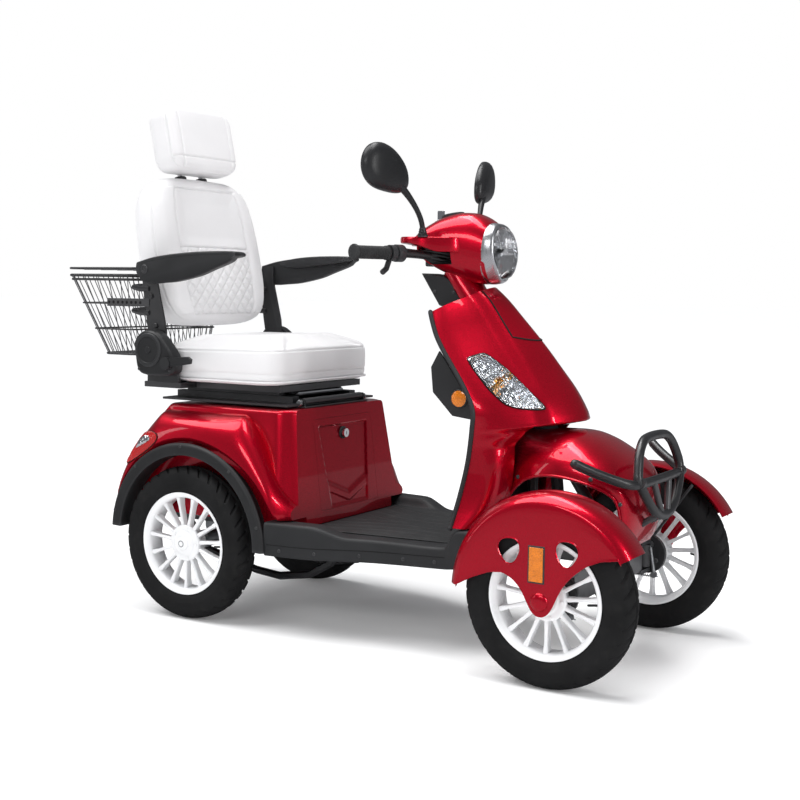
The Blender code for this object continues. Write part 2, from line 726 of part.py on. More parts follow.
def rider_normals():
    """For each station the direction from the edge line towards the rider, as (x, z)."""
    normals = []
    last = len(LEG_STATIONS) - 1
    for index in range(last + 1):
        above = LEG_STATIONS[max(index - 1, 0)]
        below = LEG_STATIONS[min(index + 1, last)]
        along = Vector((below[0] - above[0], 0.0, below[1] - above[1])).normalized()
        normals.append((along.z, -along.x))
    return normals


def make_inner_panel():
    rings = []
    for (x, z, half, *_), (out_x, out_z) in zip(LEG_STATIONS, rider_normals()):
        half -= 0.0015
        ring = []
        for share, depth in ((-1.0, 0.0030), (-1.0, 0.010), (-0.85, 0.014), (-0.4, 0.020), (0.4, 0.020),
                             (0.85, 0.014), (1.0, 0.010), (1.0, 0.0030)):
            ring.append((x + out_x * depth, share * half, z + out_z * depth))
        ring += [(x + out_x * 0.014, 0.4 * half, z + out_z * 0.014),
                 (x + out_x * 0.014, -0.4 * half, z + out_z * 0.014)]
        rings.append(ring)
    finish(loft(rings), "leg_shield_inner", "black_plastic")


def make_glove_box():
    """A bin on the rider's side of the inner panel, open at the top."""
    outline = [(0.327, 0.718), (0.312, 0.737), (0.289, 0.696), (0.295, 0.634), (0.351, 0.578),
               (0.402, 0.572), (0.415, 0.592), (0.402, 0.614), (0.368, 0.660)]
    body = prism(outline, "Y", -0.152, 0.152)
    hollow = prism([(0.335, 0.765), (0.297, 0.765), (0.297, 0.692), (0.303, 0.638), (0.354, 0.587),
                    (0.388, 0.592), (0.358, 0.650), (0.320, 0.705)], "Y", -0.145, 0.145)
    finish(carved(body, hollow), "glove_box", "black_plastic")


def leg_surface(y, level):
    """The leg shield's outer surface at a sideways place, between two of its stations."""
    low = int(level)
    first = LEG_STATIONS[low]
    second = LEG_STATIONS[low + 1]
    share = level - low
    x, z, half, spine_x, spine_z, fullness = (lerp(a, b, share) for a, b in zip(first, second))
    ahead = (1.0 - min(abs(y) / half, 1.0) ** fullness) ** (1.0 / fullness)
    return Vector((lerp(x, spine_x, ahead), y, lerp(z, spine_z, ahead)))


# Corners of the right-hand front lamp: sideways place and station
FRONT_LAMP = [(-0.158, 2.95), (-0.148, 2.80), (-0.134, 2.84), (-0.118, 3.20), (-0.107, 3.80),
              (-0.107, 4.70), (-0.110, 5.35), (-0.122, 5.50), (-0.148, 5.35), (-0.165, 4.90),
              (-0.170, 4.00), (-0.167, 3.40)]


def lamp_plug(outline, out, low, high, grow=0.0):
    """A lamp's outline drawn along its facing direction, from low to high, and grown sideways."""
    middle = sum(outline, Vector()) / len(outline)
    rings = []
    for lift in (low, high):
        ring = []
        for point in outline:
            aside = point - middle
            aside -= out * aside.dot(out)
            ring.append(point + aside.normalized() * grow + out * lift)
        rings.append(ring)
    return loft(rings)


def front_lamp(side, low, high, grow=0.0):
    outline = [leg_surface(y, level) for y, level in FRONT_LAMP]
    outline = [Vector((point.x, -side * point.y, point.z)) for point in outline]
    return lamp_plug(outline, Vector((0.62, side * 0.55, 0.55)).normalized(), low, high, grow)


def make_turn_signal(side_name):
    side = 1.0 if side_name == "left" else -1.0
    finish(front_lamp(side, -0.008, 0.005), f"turn_signal_{side_name}", "clear_lens")


NOSE_STATIONS = [
    # edge x, z and half-width; spine x and z
    (0.474, 0.320, 0.1285, 0.492, 0.5460),
    (0.492, 0.375, 0.1285, 0.512, 0.5480),
    (0.518, 0.418, 0.1285, 0.545, 0.5500),
    (0.560, 0.443, 0.140, 0.600, 0.5510),
    (0.610, 0.452, 0.152, 0.642, 0.5515),
    (0.655, 0.451, 0.157, 0.676, 0.5440),
    (0.700, 0.443, 0.156, 0.722, 0.5220),
    (0.738, 0.431, 0.148, 0.770, 0.4910),
    (0.762, 0.418, 0.137, 0.797, 0.4620),
    (0.775, 0.402, 0.126, 0.810, 0.4280),
    (0.781, 0.370, 0.119, 0.812, 0.3850),
    (0.783, 0.335, 0.116, 0.808, 0.3400),
    (0.782, 0.305, 0.110, 0.800, 0.3050),
    (0.776, 0.287, 0.098, 0.789, 0.2850),
]


def make_front_nose():
    grid = [cross_arc((x, z, half), (spine_x, spine_z), 2.3, 12)
            for x, z, half, spine_x, spine_z in NOSE_STATIONS]
    stem_notch = steer_bar(0.30, 0.70, 0.032, 16)
    tower_notch = tube([TOWER_FOOT, steer_point(TOWER_TOP)], TOWER_RADIUS + 0.004, 8)
    finish(carved(skin(grid, -0.0035), stem_notch, tower_notch), "front_nose", "red_paint")


BAR_RADIUS = 0.0115
BAR_LOOP = [(0.833, -0.143, 0.460), (0.824, -0.118, 0.512), (0.820, -0.090, 0.538),
            (0.817, -0.057, 0.549), (0.817, 0.057, 0.549), (0.820, 0.090, 0.538),
            (0.824, 0.118, 0.512), (0.833, 0.143, 0.460), (0.842, 0.100, 0.405),
            (0.847, 0.042, 0.362), (0.847, -0.042, 0.362), (0.842, -0.100, 0.405)]
BAR_ARMS = [(0.722, -0.243, 0.499), (0.752, -0.221, 0.481), (0.808, -0.182, 0.456),
            (0.827, -0.158, 0.449), (0.834, -0.125, 0.447), (0.834, 0.125, 0.447),
            (0.827, 0.158, 0.449), (0.808, 0.182, 0.456), (0.752, 0.221, 0.481),
            (0.722, 0.243, 0.499)]


def make_bull_bar():
    bar = fused(
        tube(BAR_LOOP, BAR_RADIUS, 8, closed=True),
        tube(BAR_ARMS, BAR_RADIUS, 8),
        tube([(0.836, -0.050, 0.447), (0.846, -0.018, 0.366)], 0.008, 6),
        tube([(0.836, 0.050, 0.447), (0.846, 0.018, 0.366)], 0.008, 6),
    )
    finish(bar, "bull_bar", "black_steel")


# Seat

def make_seat_hinge():
    base = box((-0.128, -0.150, DECK_Z + GAP), (-0.092, 0.150, DECK_Z + 0.0045))
    parts = [cylinder(SEAT_HINGE, 0.005, 12, "Y", -0.146, 0.146)]
    for side in (-1, 1):
        low, high = sorted((side * 0.138, side * 0.144))
        parts.append(prism([(-0.122, DECK_Z + 0.002), (-0.098, DECK_Z + 0.002), (-0.1025, 0.594),
                            (-0.1175, 0.594)], "Y", low, high))
    finish(fused(base, *parts), "seat_hinge", "black_steel")


def make_seat_platform(pivot):
    plate = box((-0.540, -0.205, 0.5760), (-0.110, 0.205, 0.5820))
    barrel = cylinder(SEAT_HINGE, 0.0090, 12, "Y", -0.1365, 0.1365)
    rails = [box((-0.535, side * 0.135 - 0.014, 0.5810), (-0.135, side * 0.135 + 0.014, 0.5990))
             for side in (-1, 1)]
    platform = fused(plate, barrel, *rails)
    ears = [box((-0.126, min(side * 0.1368, side * 0.1455), 0.570),
                (-0.095, max(side * 0.1368, side * 0.1455), 0.5800)) for side in (-1, 1)]
    ears += [box((-0.126, min(side * 0.1368, side * 0.1455), 0.5790),
                 (-0.095, max(side * 0.1368, side * 0.1455), 0.606)) for side in (-1, 1)]
    carved(platform, *ears, cylinder(SEAT_HINGE, 0.0056, 12, "Y", -0.15, 0.15))
    finish(platform, "seat_platform", "black_steel", pivot)


def make_seat_base(pivot):
    """The sliding pan with its side plates and the two recliner covers."""
    parts = [box((-0.530, -0.190, 0.6115), (-0.145, 0.190, 0.6285))]
    shoes = [box((-0.500, side * 0.135 - 0.012, 0.5995), (-0.180, side * 0.135 + 0.012, 0.6125))
             for side in (-1, 1)]
    wings = [box((-0.560, -0.256, 0.6125), (-0.430, 0.256, 0.6275))]
    plates = []
    for side in (-1, 1):
        low, high = sorted((side * 0.2445, side * 0.2555))
        plates.append(prism([(-0.550, 0.620), (-0.440, 0.620), (-0.446, 0.700), (-0.480, 0.742),
                             (-0.520, 0.742), (-0.548, 0.700)], "Y", low, high))
        low, high = sorted((side * 0.250, side * 0.2625))
        plates.append(cylinder(RECLINE_PIVOT, 0.008, 12, "Y", low, high))
    finish(fused(*parts, *shoes, *wings, *plates), "seat_pan", "black_steel", pivot)
    for side_name, side in (("right", -1.0), ("left", 1.0)):
        outline = [(-0.562, 0.735), (-0.545, 0.762), (-0.512, 0.772), (-0.478, 0.765), (-0.448, 0.735),
                   (-0.418, 0.700), (-0.420, 0.662), (-0.440, 0.646), (-0.530, 0.646), (-0.556, 0.690)]
        low, high = sorted((side * 0.2635, side * 0.2990))
        cover = prism(outline, "Y", low, high)
        finish(cover, f"recliner_cover_{side_name}", "black_plastic", pivot)


def make_recline_lever(pivot):
    lever = fused(
        cylinder((-0.438, 0.0, 0.682), 0.017, 14, "Y", -0.3120, -0.2995),
        prism([(-0.446, 0.697), (-0.360, 0.703), (-0.349, 0.696), (-0.352, 0.684), (-0.440, 0.672)],
              "Y", -0.3100, -0.3010),
    )
    finish(lever, "recline_lever", "black_plastic", pivot)


def make_slide_lever(pivot):
    bar = tube([(-0.265, -0.105, 0.6052), (-0.165, -0.110, 0.6040), (-0.146, -0.095, 0.6040),
                (-0.146, 0.095, 0.6040), (-0.165, 0.110, 0.6040), (-0.265, 0.105, 0.6052)],
               0.0055, 8)
    finish(bar, "slide_lever", "machined_steel", pivot)


CUSHION_RINGS = [(0.6300, 0.945), (0.6400, 0.985), (0.6650, 1.0), (0.7050, 1.0), (0.7300, 0.975),
                 (0.7420, 0.90)]


def make_seat_cushion(pivot):
    rings = []
    for z, share in CUSHION_RINGS:
        rings.append([(-0.332 + x * share, y * share, z + 0.02 * x * (z - 0.63) / 0.11)
                      for x, y in rounded(0.205, 0.240, 0.055)])
    finish(loft(rings), "seat_cushion", "white_leather", pivot)


BACK_FOOT = Vector((-0.487, 0.0, 0.765))
BACK_UP = Vector((-math.sin(BACK_LEAN), 0.0, math.cos(BACK_LEAN)))
BACK_OUT = Vector((math.cos(BACK_LEAN), 0.0, math.sin(BACK_LEAN)))
BACK_OUTLINE = [(0.0, 0.150), (0.022, 0.190), (0.065, 0.218), (0.130, 0.230), (0.200, 0.231),
                (0.270, 0.229), (0.335, 0.223), (0.385, 0.209), (0.420, 0.184), (0.438, 0.150),
                (0.445, 0.095)]
BACK_RINGS = [(-0.090, 0.90), (-0.078, 0.97), (-0.050, 1.0), (-0.010, 0.985), (0.012, 0.91)]
POST_Y = 0.045
POST_DEPTH = -0.034
POST_RADIUS = 0.006


def back_point(up, side, out):
    return BACK_FOOT + BACK_UP * up + BACK_OUT * out + Vector((0.0, side, 0.0))


def back_bar(side, first, last, radius, sides):
    rings = []
    for up in (first, last):
        ring = []
        for index in range(sides):
            turn = 2.0 * math.pi * index / sides
            ring.append(back_point(up, side + radius * math.cos(turn),
                                   POST_DEPTH + radius * math.sin(turn)))
        rings.append(ring)
    return loft(rings)


def make_backrest(pivot):
    rings = []
    middle = 0.20
    for out, share in BACK_RINGS:
        ring = [back_point(lerp(middle, up, share), half * share, out) for up, half in BACK_OUTLINE]
        ring += [back_point(lerp(middle, up, share), -half * share, out)
                 for up, half in reversed(BACK_OUTLINE)]
        rings.append(ring)
    holes = [back_bar(side * POST_Y, 0.325, 0.460, POST_RADIUS + 0.0012, 10) for side in (-1, 1)]
    finish(carved(loft(rings), *holes), "backrest", "white_leather", pivot)


def make_back_frame(pivot):
    plates = []
    for side in (-1, 1):
        low, high = sorted((side * 0.2570, side * 0.2620))
        arm = prism([(-0.528, 0.690), (-0.500, 0.670), (-0.472, 0.690), (-0.480, 0.790),
                     (-0.508, 0.905), (-0.508, 0.950), (-0.546, 0.950), (-0.560, 0.900),
                     (-0.545, 0.790)], "Y", low, high)
        plates.append(arm)
        low, high = sorted((side * 0.2600, side * 0.2850))
        plates.append(cylinder(ARM_PIVOT, 0.0070, 12, "Y", low, high))
    bars = [tube([(-0.535, -0.2595, z), (-0.575, -0.2560, z), (-0.615, -0.2350, z + 0.004),
                  (x, -0.190, z + 0.006), (x, 0.190, z + 0.006), (-0.615, 0.2350, z + 0.004),
                  (-0.575, 0.2560, z), (-0.535, 0.2595, z)], 0.008, 8)
            for x, z in ((-0.622, 0.815), (-0.634, 0.880))]
    arms = [box((-0.6500 + 0.006, side * 0.100 - 0.008, 0.800), (-0.618, side * 0.100 + 0.008, 0.826))
            for side in (-1, 1)]
    frame = fused(*plates, *bars, *arms)
    holes = [cylinder(RECLINE_PIVOT, 0.0086, 12, "Y", -0.30, 0.30)]
    finish(carved(frame, *holes), "back_frame", "black_steel", pivot)


def make_headrest(pivot):
    rings = []
    for out, share in ((-0.046, 0.84), (-0.034, 0.96), (0.0, 1.0), (0.034, 0.96), (0.046, 0.84)):
        outline = rounded(0.143 * share, 0.093 * share, 0.042 * share)
        rings.append([back_point(0.546 + up, side, out) for side, up in outline])
    posts = [back_bar(side * POST_Y, 0.345, 0.520, POST_RADIUS, 10) for side in (-1, 1)]
    finish(fused(loft(rings), *posts), "headrest", "white_leather", pivot)


ARM_OUTLINE = [(-0.556, 0.952), (-0.500, 0.966), (-0.420, 0.975), (-0.330, 0.980), (-0.219, 0.980),
               (-0.216, 0.967), (-0.229, 0.962), (-0.233, 0.953), (-0.300, 0.930), (-0.340, 0.915),
               (-0.420, 0.899), (-0.470, 0.898), (-0.490, 0.893), (-0.533, 0.896), (-0.552, 0.915)]


def make_armrest(side_name, pivot):
    side = 1.0 if side_name == "left" else -1.0
    low, high = sorted((side * 0.2625, side * 0.2900))
    pad = prism(ARM_OUTLINE, "Y", low, high)
    low, high = sorted((side * 0.2550, side * 0.2856))
    hole = cylinder(ARM_PIVOT, 0.0076, 12, "Y", low, high)
    wide_low, wide_high = sorted((side * 0.2385, side * 0.2640))
    inner = prism([(-0.470, 0.9560), (-0.420, 0.974), (-0.330, 0.9795), (-0.2195, 0.9795),
                   (-0.2240, 0.9640), (-0.300, 0.9550), (-0.400, 0.9440)], "Y", wide_low, wide_high)
    finish(carved(fused(pad, inner), hole), f"armrest_{side_name}", "black_plastic", pivot)


BASKET_RIM = (-0.9097, -0.650, 0.210, 0.920)
BASKET_FLOOR = (-0.800, -0.668, 0.172, 0.690)
BASKET_WALL = 0.004


def basket_ring(level, inset):
    rear, front, half, z = (lerp(low, high, level) for low, high in zip(BASKET_FLOOR, BASKET_RIM))
    corners = rounded((front - rear) / 2 - inset, half - inset, 0.028, 2)
    middle = (front + rear) / 2
    return [(middle + x, y, z) for x, y in corners]


def make_basket(pivot):
    outer = loft([basket_ring(0.0, 0.0), basket_ring(1.0, 0.0)])
    floor_level = BASKET_WALL / (BASKET_RIM[3] - BASKET_FLOOR[3])
    inner = loft([basket_ring(floor_level, BASKET_WALL), basket_ring(1.05, BASKET_WALL)])
    finish(carved(outer, inner), "basket", "black_steel", pivot)


def make_basket_lid(pivot):
    lid = box((-0.9077, -0.208, 0.9345), (-0.644, 0.208, 0.9385))
    barrel = cylinder(LID_HINGE, 0.005, 10, "Y", -0.160, 0.160)
    web = box((-0.650, -0.150, 0.9350), (-0.636, 0.150, 0.9380))
    finish(fused(lid, web, barrel), "basket_lid", "black_steel", pivot)


# Steering head

POD_STATIONS = [
    # x, half-width, lower and upper height
    (0.186, 0.078, 0.978, 1.018), (0.196, 0.094, 0.962, 1.036), (0.232, 0.093, 0.938, 1.063),
    (0.275, 0.087, 0.920, 1.079), (0.320, 0.079, 0.905, 1.083), (0.358, 0.071, 0.899, 1.073),
    (0.386, 0.064, 0.903, 1.052),
]
NECK = (0.005, 0.128)
NECK_HALF_X, NECK_HALF_Y = 0.038, 0.047


def pod_ring(x, half, low, high, columns=16):
    middle = (low + high) / 2
    ring = []
    for index in range(columns):
        turn = 2.0 * math.pi * index / columns
        side = math.copysign(abs(math.cos(turn)) ** 0.75, math.cos(turn))
        up = math.copysign(abs(math.sin(turn)) ** 0.75, math.sin(turn))
        ring.append((x, half * side * (1.0 - 0.10 * min(up, 0.0) ** 2), middle + (high - low) / 2 * up))
    return ring


def make_head_cover(pivot):
    outer = loft([pod_ring(*station) for station in POD_STATIONS])
    wings = []
    for side in (-1, 1):
        outline = [(0.190, side * 0.060), (0.330, side * 0.060), (0.322, side * 0.088),
                   (0.262, side * 0.130), (0.240, side * 0.160), (0.202, side * 0.162),
                   (0.188, side * 0.120)]
        wings.append(prism(outline, "Z", 1.0005, 1.0165))
    neck = steer_bar(*NECK, NECK_HALF_X, 16, NECK_HALF_Y)
    shrunk = []
    for x, half, low, high in POD_STATIONS:
        shrunk.append(pod_ring(x + 0.004 if x < 0.2 else x, half - 0.0035, low + 0.0035, high - 0.0035))
    shrunk.append(pod_ring(0.40, 0.0600, 0.907, 1.048))
    hollow = loft(shrunk)
    head = fused(outer, neck, *wings)
    mouths = [box((0.196, min(side * 0.050, side * 0.200), 0.9500),
                  (0.300, max(side * 0.050, side * 0.200), 0.9955)) for side in (-1, 1)]
    carved(head, hollow, steer_bar(-0.05, 0.15, 0.034, 16, 0.043), *mouths,
           cylinder(KEY_PLACE, 0.0113, 16, "Z", 1.02, 1.10))
    finish(head, "head_cover", "red_paint", pivot)


KEY_PLACE = Vector((0.226, 0.0, 1.06))


def make_key_switch(pivot):
    barrel = cylinder(KEY_PLACE, 0.0105, 16, "Z", 1.030, 1.066)
    key = box((0.216, -0.0015, 1.064), (0.236, 0.0015, 1.088))
    finish(fused(barrel, key), "key_switch", "machined_steel", pivot)


def make_column_cover(pivot):
    outline = [(0.194, 0.928), (0.248, 0.846), (0.262, 0.843), (0.330, 0.860), (0.300, 0.900),
               (0.262, 0.920)]
    wedge = prism(outline, "Y", -0.044, 0.044)
    cut = steer_bar(-0.05, 0.17, NECK_HALF_X + 0.0008, 16, NECK_HALF_Y + 0.0008)
    shell = carved(wedge, cut)
    finish(shell, "column_cover", "black_plastic", pivot)


LAMP_MIDDLE_Z = 0.982
# How far each ring of the headlight's glass is ahead, and how wide it is against the head
LAMP_RINGS = [(0.3870, 0.93), (0.4020, 0.95), (0.4200, 0.84), (0.4290, 0.62), (0.4320, 0.30)]
LAMP_RAKE = 1.9


def make_headlight(pivot):
    rings = []
    for x, share in LAMP_RINGS:
        ring = []
        for _, y, z in pod_ring(0.386, 0.064, 0.903, 1.052):
            rise = z - LAMP_MIDDLE_Z
            ring.append((x - LAMP_RAKE * rise * (x - LAMP_RINGS[0][0]), y * share,
                         LAMP_MIDDLE_Z + rise * share))
        rings.append(ring)
    finish(loft(rings), "headlight", "clear_lens", pivot)


def make_stem(pivot):
    finish(steer_bar(*STEM, STEM_RADIUS, 16), "steering_stem", "black_steel", pivot)


BAR_HALF_PATH = [(0.1662, 0.310, 0.9750), (0.2080, 0.170, 0.9750), (0.2330, 0.105, 0.9730),
                 (0.2620, 0.040, 0.9640)]
GRIP_RADIUS = 0.0165


def bar_axis(share):
    outer = Vector(BAR_HALF_PATH[0])
    inner = Vector(BAR_HALF_PATH[1])
    return outer.lerp(inner, share)


def right_of_bar(share):
    point = bar_axis(share)
    return Vector((point.x, -point.y, point.z))


def make_handlebar(pivot):
    path = [(x, -y, z) for x, y, z in BAR_HALF_PATH] + list(reversed(BAR_HALF_PATH))
    bar = fused(tube(path, 0.0100, 12), steer_bar(-0.026, 0.0205, 0.021, 16))
    finish(bar, "handlebar", "black_steel", pivot)


def along_bar(first, last, radius, sides, side):
    """A round bar on the line of a grip, between two shares of the grip's length."""
    ends = [bar_axis(first), bar_axis(last)]
    return tube([(end.x, side * end.y, end.z) for end in ends], radius, sides)


def make_grip(side_name, pivot):
    side = 1.0 if side_name == "left" else -1.0
    last = 0.72 if side < 0 else 0.80
    grip = carved(along_bar(-0.035, last, GRIP_RADIUS, 12, side),
                  along_bar(-0.004, 1.1, 0.0104, 12, side))
    finish(grip, f"grip_{side_name}", "floor_rubber", pivot)


def make_throttle(pivot):
    """A thumb paddle on a ring round the right end of the handlebar."""
    ring = along_bar(0.745, 0.850, 0.0200, 14, -1.0)
    start = right_of_bar(0.80)
    paddle = tube([start + Vector((-0.004, 0.0, -0.012)), start + Vector((-0.010, -0.006, -0.038)),
                   start + Vector((-0.012, -0.022, -0.048))], 0.0070, 8)
    throttle = carved(fused(ring, paddle), along_bar(0.6, 1.0, 0.0107, 12, -1.0))
    finish(throttle, "throttle", "black_plastic", pivot)


LEVER_PIVOT = Vector((0.268, 0.122, 0.973))


def make_brake_lever(pivot):
    lever = fused(
        cylinder(LEVER_PIVOT, 0.010, 12, "Z", 0.966, 0.980),
        tube([(0.268, 0.128, 0.973), (0.266, 0.180, 0.973), (0.245, 0.240, 0.973),
              (0.226, 0.300, 0.973), (0.223, 0.318, 0.973)], 0.0050, 8),
    )
    carved(lever, cylinder(LEVER_PIVOT, 0.0040, 10, "Z", 0.95, 0.99))
    finish(lever, "brake_lever", "machined_steel", pivot)


def make_brake_perch(pivot):
    perch = fused(
        box((0.2550, 0.112, 0.9500), (0.2780, 0.134, 0.9570)),
        cylinder(LEVER_PIVOT, 0.0034, 10, "Z", 0.953, 0.9840),
        box((0.2120, 0.116, 0.9440), (0.2650, 0.134, 0.9605)),
        along_bar(1.16, 1.26, 0.0190, 12, 1.0),
    )
    carved(perch, tube([(x, y, z) for x, y, z in BAR_HALF_PATH], 0.0104, 12))
    finish(perch, "brake_perch", "black_plastic", pivot)


MIRROR_STEM = [(0.2550, -0.140, 1.0172), (0.2560, -0.144, 1.046), (0.2520, -0.160, 1.078),
               (0.2420, -0.186, 1.112), (0.2330, -0.212, 1.136), (0.2280, -0.232, 1.152)]
MIRROR_CENTRE = Vector((0.2180, -0.2530, 1.1760))
MIRROR_YAW = math.radians(-14.0)


def mirror_shape():
    """The right-hand mirror: an egg-shaped domed shell on a bent stem."""
    rings = []
    turn_in = Matrix.Rotation(MIRROR_YAW, 3, "Z") @ Matrix.Rotation(math.radians(-18.0), 3, "X")
    for depth, share in ((-0.012, 0.95), (-0.010, 1.0), (0.002, 0.97), (0.014, 0.74), (0.019, 0.36)):
        ring = []
        for index in range(18):
            turn = 2.0 * math.pi * index / 18
            wide = 0.0760 * math.cos(turn)
            tall = 0.0540 * math.sin(turn) * (1.0 - 0.22 * math.cos(turn))
            ring.append(MIRROR_CENTRE + turn_in @ Vector((depth, wide * share, tall * share)))
        rings.append(ring)
    return fused(loft(rings), tube(MIRROR_STEM, 0.0060, 8))


def make_mirror(side_name, pivot):
    shape = mirror_shape()
    if side_name == "left":
        other = mirrored(shape)
        bpy.data.objects.remove(shape)
        shape = other
    finish(shape, f"mirror_{side_name}", "black_plastic", pivot)


# Assembly

def make_chassis():
    make_main_frame()
    make_drive_unit()
    make_floor_pan()
    make_rear_body()
    make_leg_shield()
    make_inner_panel()
    make_glove_box()
    make_front_nose()
    make_bull_bar()
    make_seat_hinge()
    for side_name in ("right", "left"):
        make_arch_trim(side_name)
        make_tail_light(side_name)
        make_turn_signal(side_name)
    finish(box((-0.345, -0.160, 0.275), (-0.142, 0.160, 0.470)), "battery_pack", "battery_case")
    make_battery_door()
    for side_name in ("right", "left"):
        make_wheel("rear", side_name, REAR_AXLE_X, REAR_HALF_TRACK)


def make_front_corners():
    for side_name, side in (("right", -1.0), ("left", 1.0)):
        pivot = joint_empty(f"knuckle_{side_name}_pivot", (FRONT_AXLE_X, side * KINGPIN_Y, AXLE_Z))
        make_knuckle(side_name, pivot)
        make_fender(side_name, pivot)
        make_wheel("front", side_name, FRONT_AXLE_X, FRONT_HALF_TRACK, pivot)
    make_tie_rod()


def make_seat():
    platform = joint_empty("seat_platform_pivot", SEAT_HINGE)
    make_seat_platform(platform)
    slide = joint_empty("seat_slide_pivot", (-0.330, 0.0, 0.620), platform)
    make_seat_base(slide)
    make_seat_cushion(slide)
    make_recline_lever(joint_empty("recline_lever_pivot", (-0.438, 0.0, 0.682), slide))
    make_slide_lever(joint_empty("slide_lever_pivot", (-0.265, 0.0, 0.6052), slide))
    back = joint_empty("backrest_pivot", RECLINE_PIVOT, slide)
    make_backrest(back)
    make_back_frame(back)
    make_basket(back)
    make_basket_lid(joint_empty("basket_lid_pivot", LID_HINGE, back))
    make_headrest(joint_empty("headrest_pivot", back_point(0.45, 0.0, POST_DEPTH), back))
    for side_name, side in (("right", -1.0), ("left", 1.0)):
        hinge = joint_empty(f"armrest_{side_name}_pivot", ARM_PIVOT + Vector((0.0, side * 0.27, 0.0)), back)
        make_armrest(side_name, hinge)


def make_steering():
    steering = joint_empty("steering_pivot", STEER_POINT)
    make_stem(steering)
    make_head_cover(steering)
    make_column_cover(steering)
    make_headlight(steering)
    make_handlebar(steering)
    make_grip("right", steering)
    make_grip("left", steering)
    make_brake_perch(steering)
    make_throttle(joint_empty("throttle_pivot", right_of_bar(0.8), steering))
    make_brake_lever(joint_empty("brake_lever_pivot", LEVER_PIVOT, steering))
    make_key_switch(joint_empty("key_switch_pivot", KEY_PLACE, steering))
    for side_name, side in (("right", 1.0), ("left", -1.0)):
        foot = Vector(MIRROR_STEM[0])
        foot.y *= side
        make_mirror(side_name, joint_empty(f"mirror_{side_name}_pivot", foot, steering))


def main():
    clear_scene()
    make_chassis()
    make_front_corners()
    make_seat()
    make_steering()
    bpy.context.view_layer.update()


main()
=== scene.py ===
import contextlib
import json
import math

import bmesh
import bpy
from mathutils import Matrix, Vector


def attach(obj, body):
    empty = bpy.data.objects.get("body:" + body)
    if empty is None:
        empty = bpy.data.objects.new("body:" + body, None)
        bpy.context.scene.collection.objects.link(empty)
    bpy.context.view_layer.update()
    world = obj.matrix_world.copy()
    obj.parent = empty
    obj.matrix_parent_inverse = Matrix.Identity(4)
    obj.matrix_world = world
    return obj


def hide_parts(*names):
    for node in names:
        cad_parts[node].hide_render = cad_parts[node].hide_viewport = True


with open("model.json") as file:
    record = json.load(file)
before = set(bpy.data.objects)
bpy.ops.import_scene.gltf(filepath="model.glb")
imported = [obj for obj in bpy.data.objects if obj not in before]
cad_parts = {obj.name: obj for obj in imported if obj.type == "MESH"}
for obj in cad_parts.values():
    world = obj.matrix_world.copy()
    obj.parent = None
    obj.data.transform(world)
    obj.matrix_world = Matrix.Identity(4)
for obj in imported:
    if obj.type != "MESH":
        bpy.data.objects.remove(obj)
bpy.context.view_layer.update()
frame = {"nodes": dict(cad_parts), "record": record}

# The looks of the mobility scooter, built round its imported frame.
# +X is forwards, +Y the scooter's left, +Z up, in metres.

NODES = frame["nodes"]
BODY_OF = {}
for body_name, members in frame["record"]["behaviour"]["bodies"].items():
    for member in members:
        BODY_OF[member] = body_name

REAR_AXLE = Vector((-0.374, 0.0, 0.205))
FRONT_AXLE = Vector((0.701, 0.0, 0.205))
RIGHT, LEFT = -1.0, 1.0
SIDES = (("right", RIGHT), ("left", LEFT))
AHEAD, UP = (1.0, 0.0, 0.0), (0.0, 0.0, 1.0)


# ---------------------------------------------------------------- Numbers

def lerp(a, b, share):
    return a + (b - a) * share


def ease(value, start, end):
    share = min(max((value - start) / (end - start), 0.0), 1.0)
    return share * share * (3.0 - 2.0 * share)


def table_at(rows, place):
    """A row of numbers at a fractional place in a table."""
    low = min(max(int(math.floor(place)), 0), len(rows) - 2)
    share = min(max(place - low, 0.0), 1.0)
    return [lerp(a, b, share) for a, b in zip(rows[low], rows[low + 1])]


def soft_at(rows, place, width):
    """As table_at, but averaged over a width so that the corners between rows are round."""
    width = min(width, place, len(rows) - 1 - place)
    samples = [table_at(rows, place + width * share) for share in (-1.0, -0.6, -0.2, 0.2, 0.6, 1.0)]
    return [sum(column) / len(samples) for column in zip(*samples)]


def densify(rows, steps, width=0.4):
    last = len(rows) - 1
    count = last * steps
    return [soft_at(rows, last * index / count, width) for index in range(count + 1)]


def closed_curve(outline, steps, width):
    """A closed outline with its corners made round."""
    return densify(outline + [outline[0]], steps, width)[:-1]


def swung(centre, radius, turn, y):
    """A place at a sideways distance, swung about a crosswise axis."""
    return centre[0] + radius * math.cos(turn), y, centre[-1] + radius * math.sin(turn)


def circle(steps):
    """Angles of equal steps round a turn."""
    return [2.0 * math.pi * index / steps for index in range(steps)]


def round_path(points, steps=6, width=0.45):
    return [Vector(row) for row in densify([list(point) for point in points], steps, width)]


# ---------------------------------------------------------------- Materials

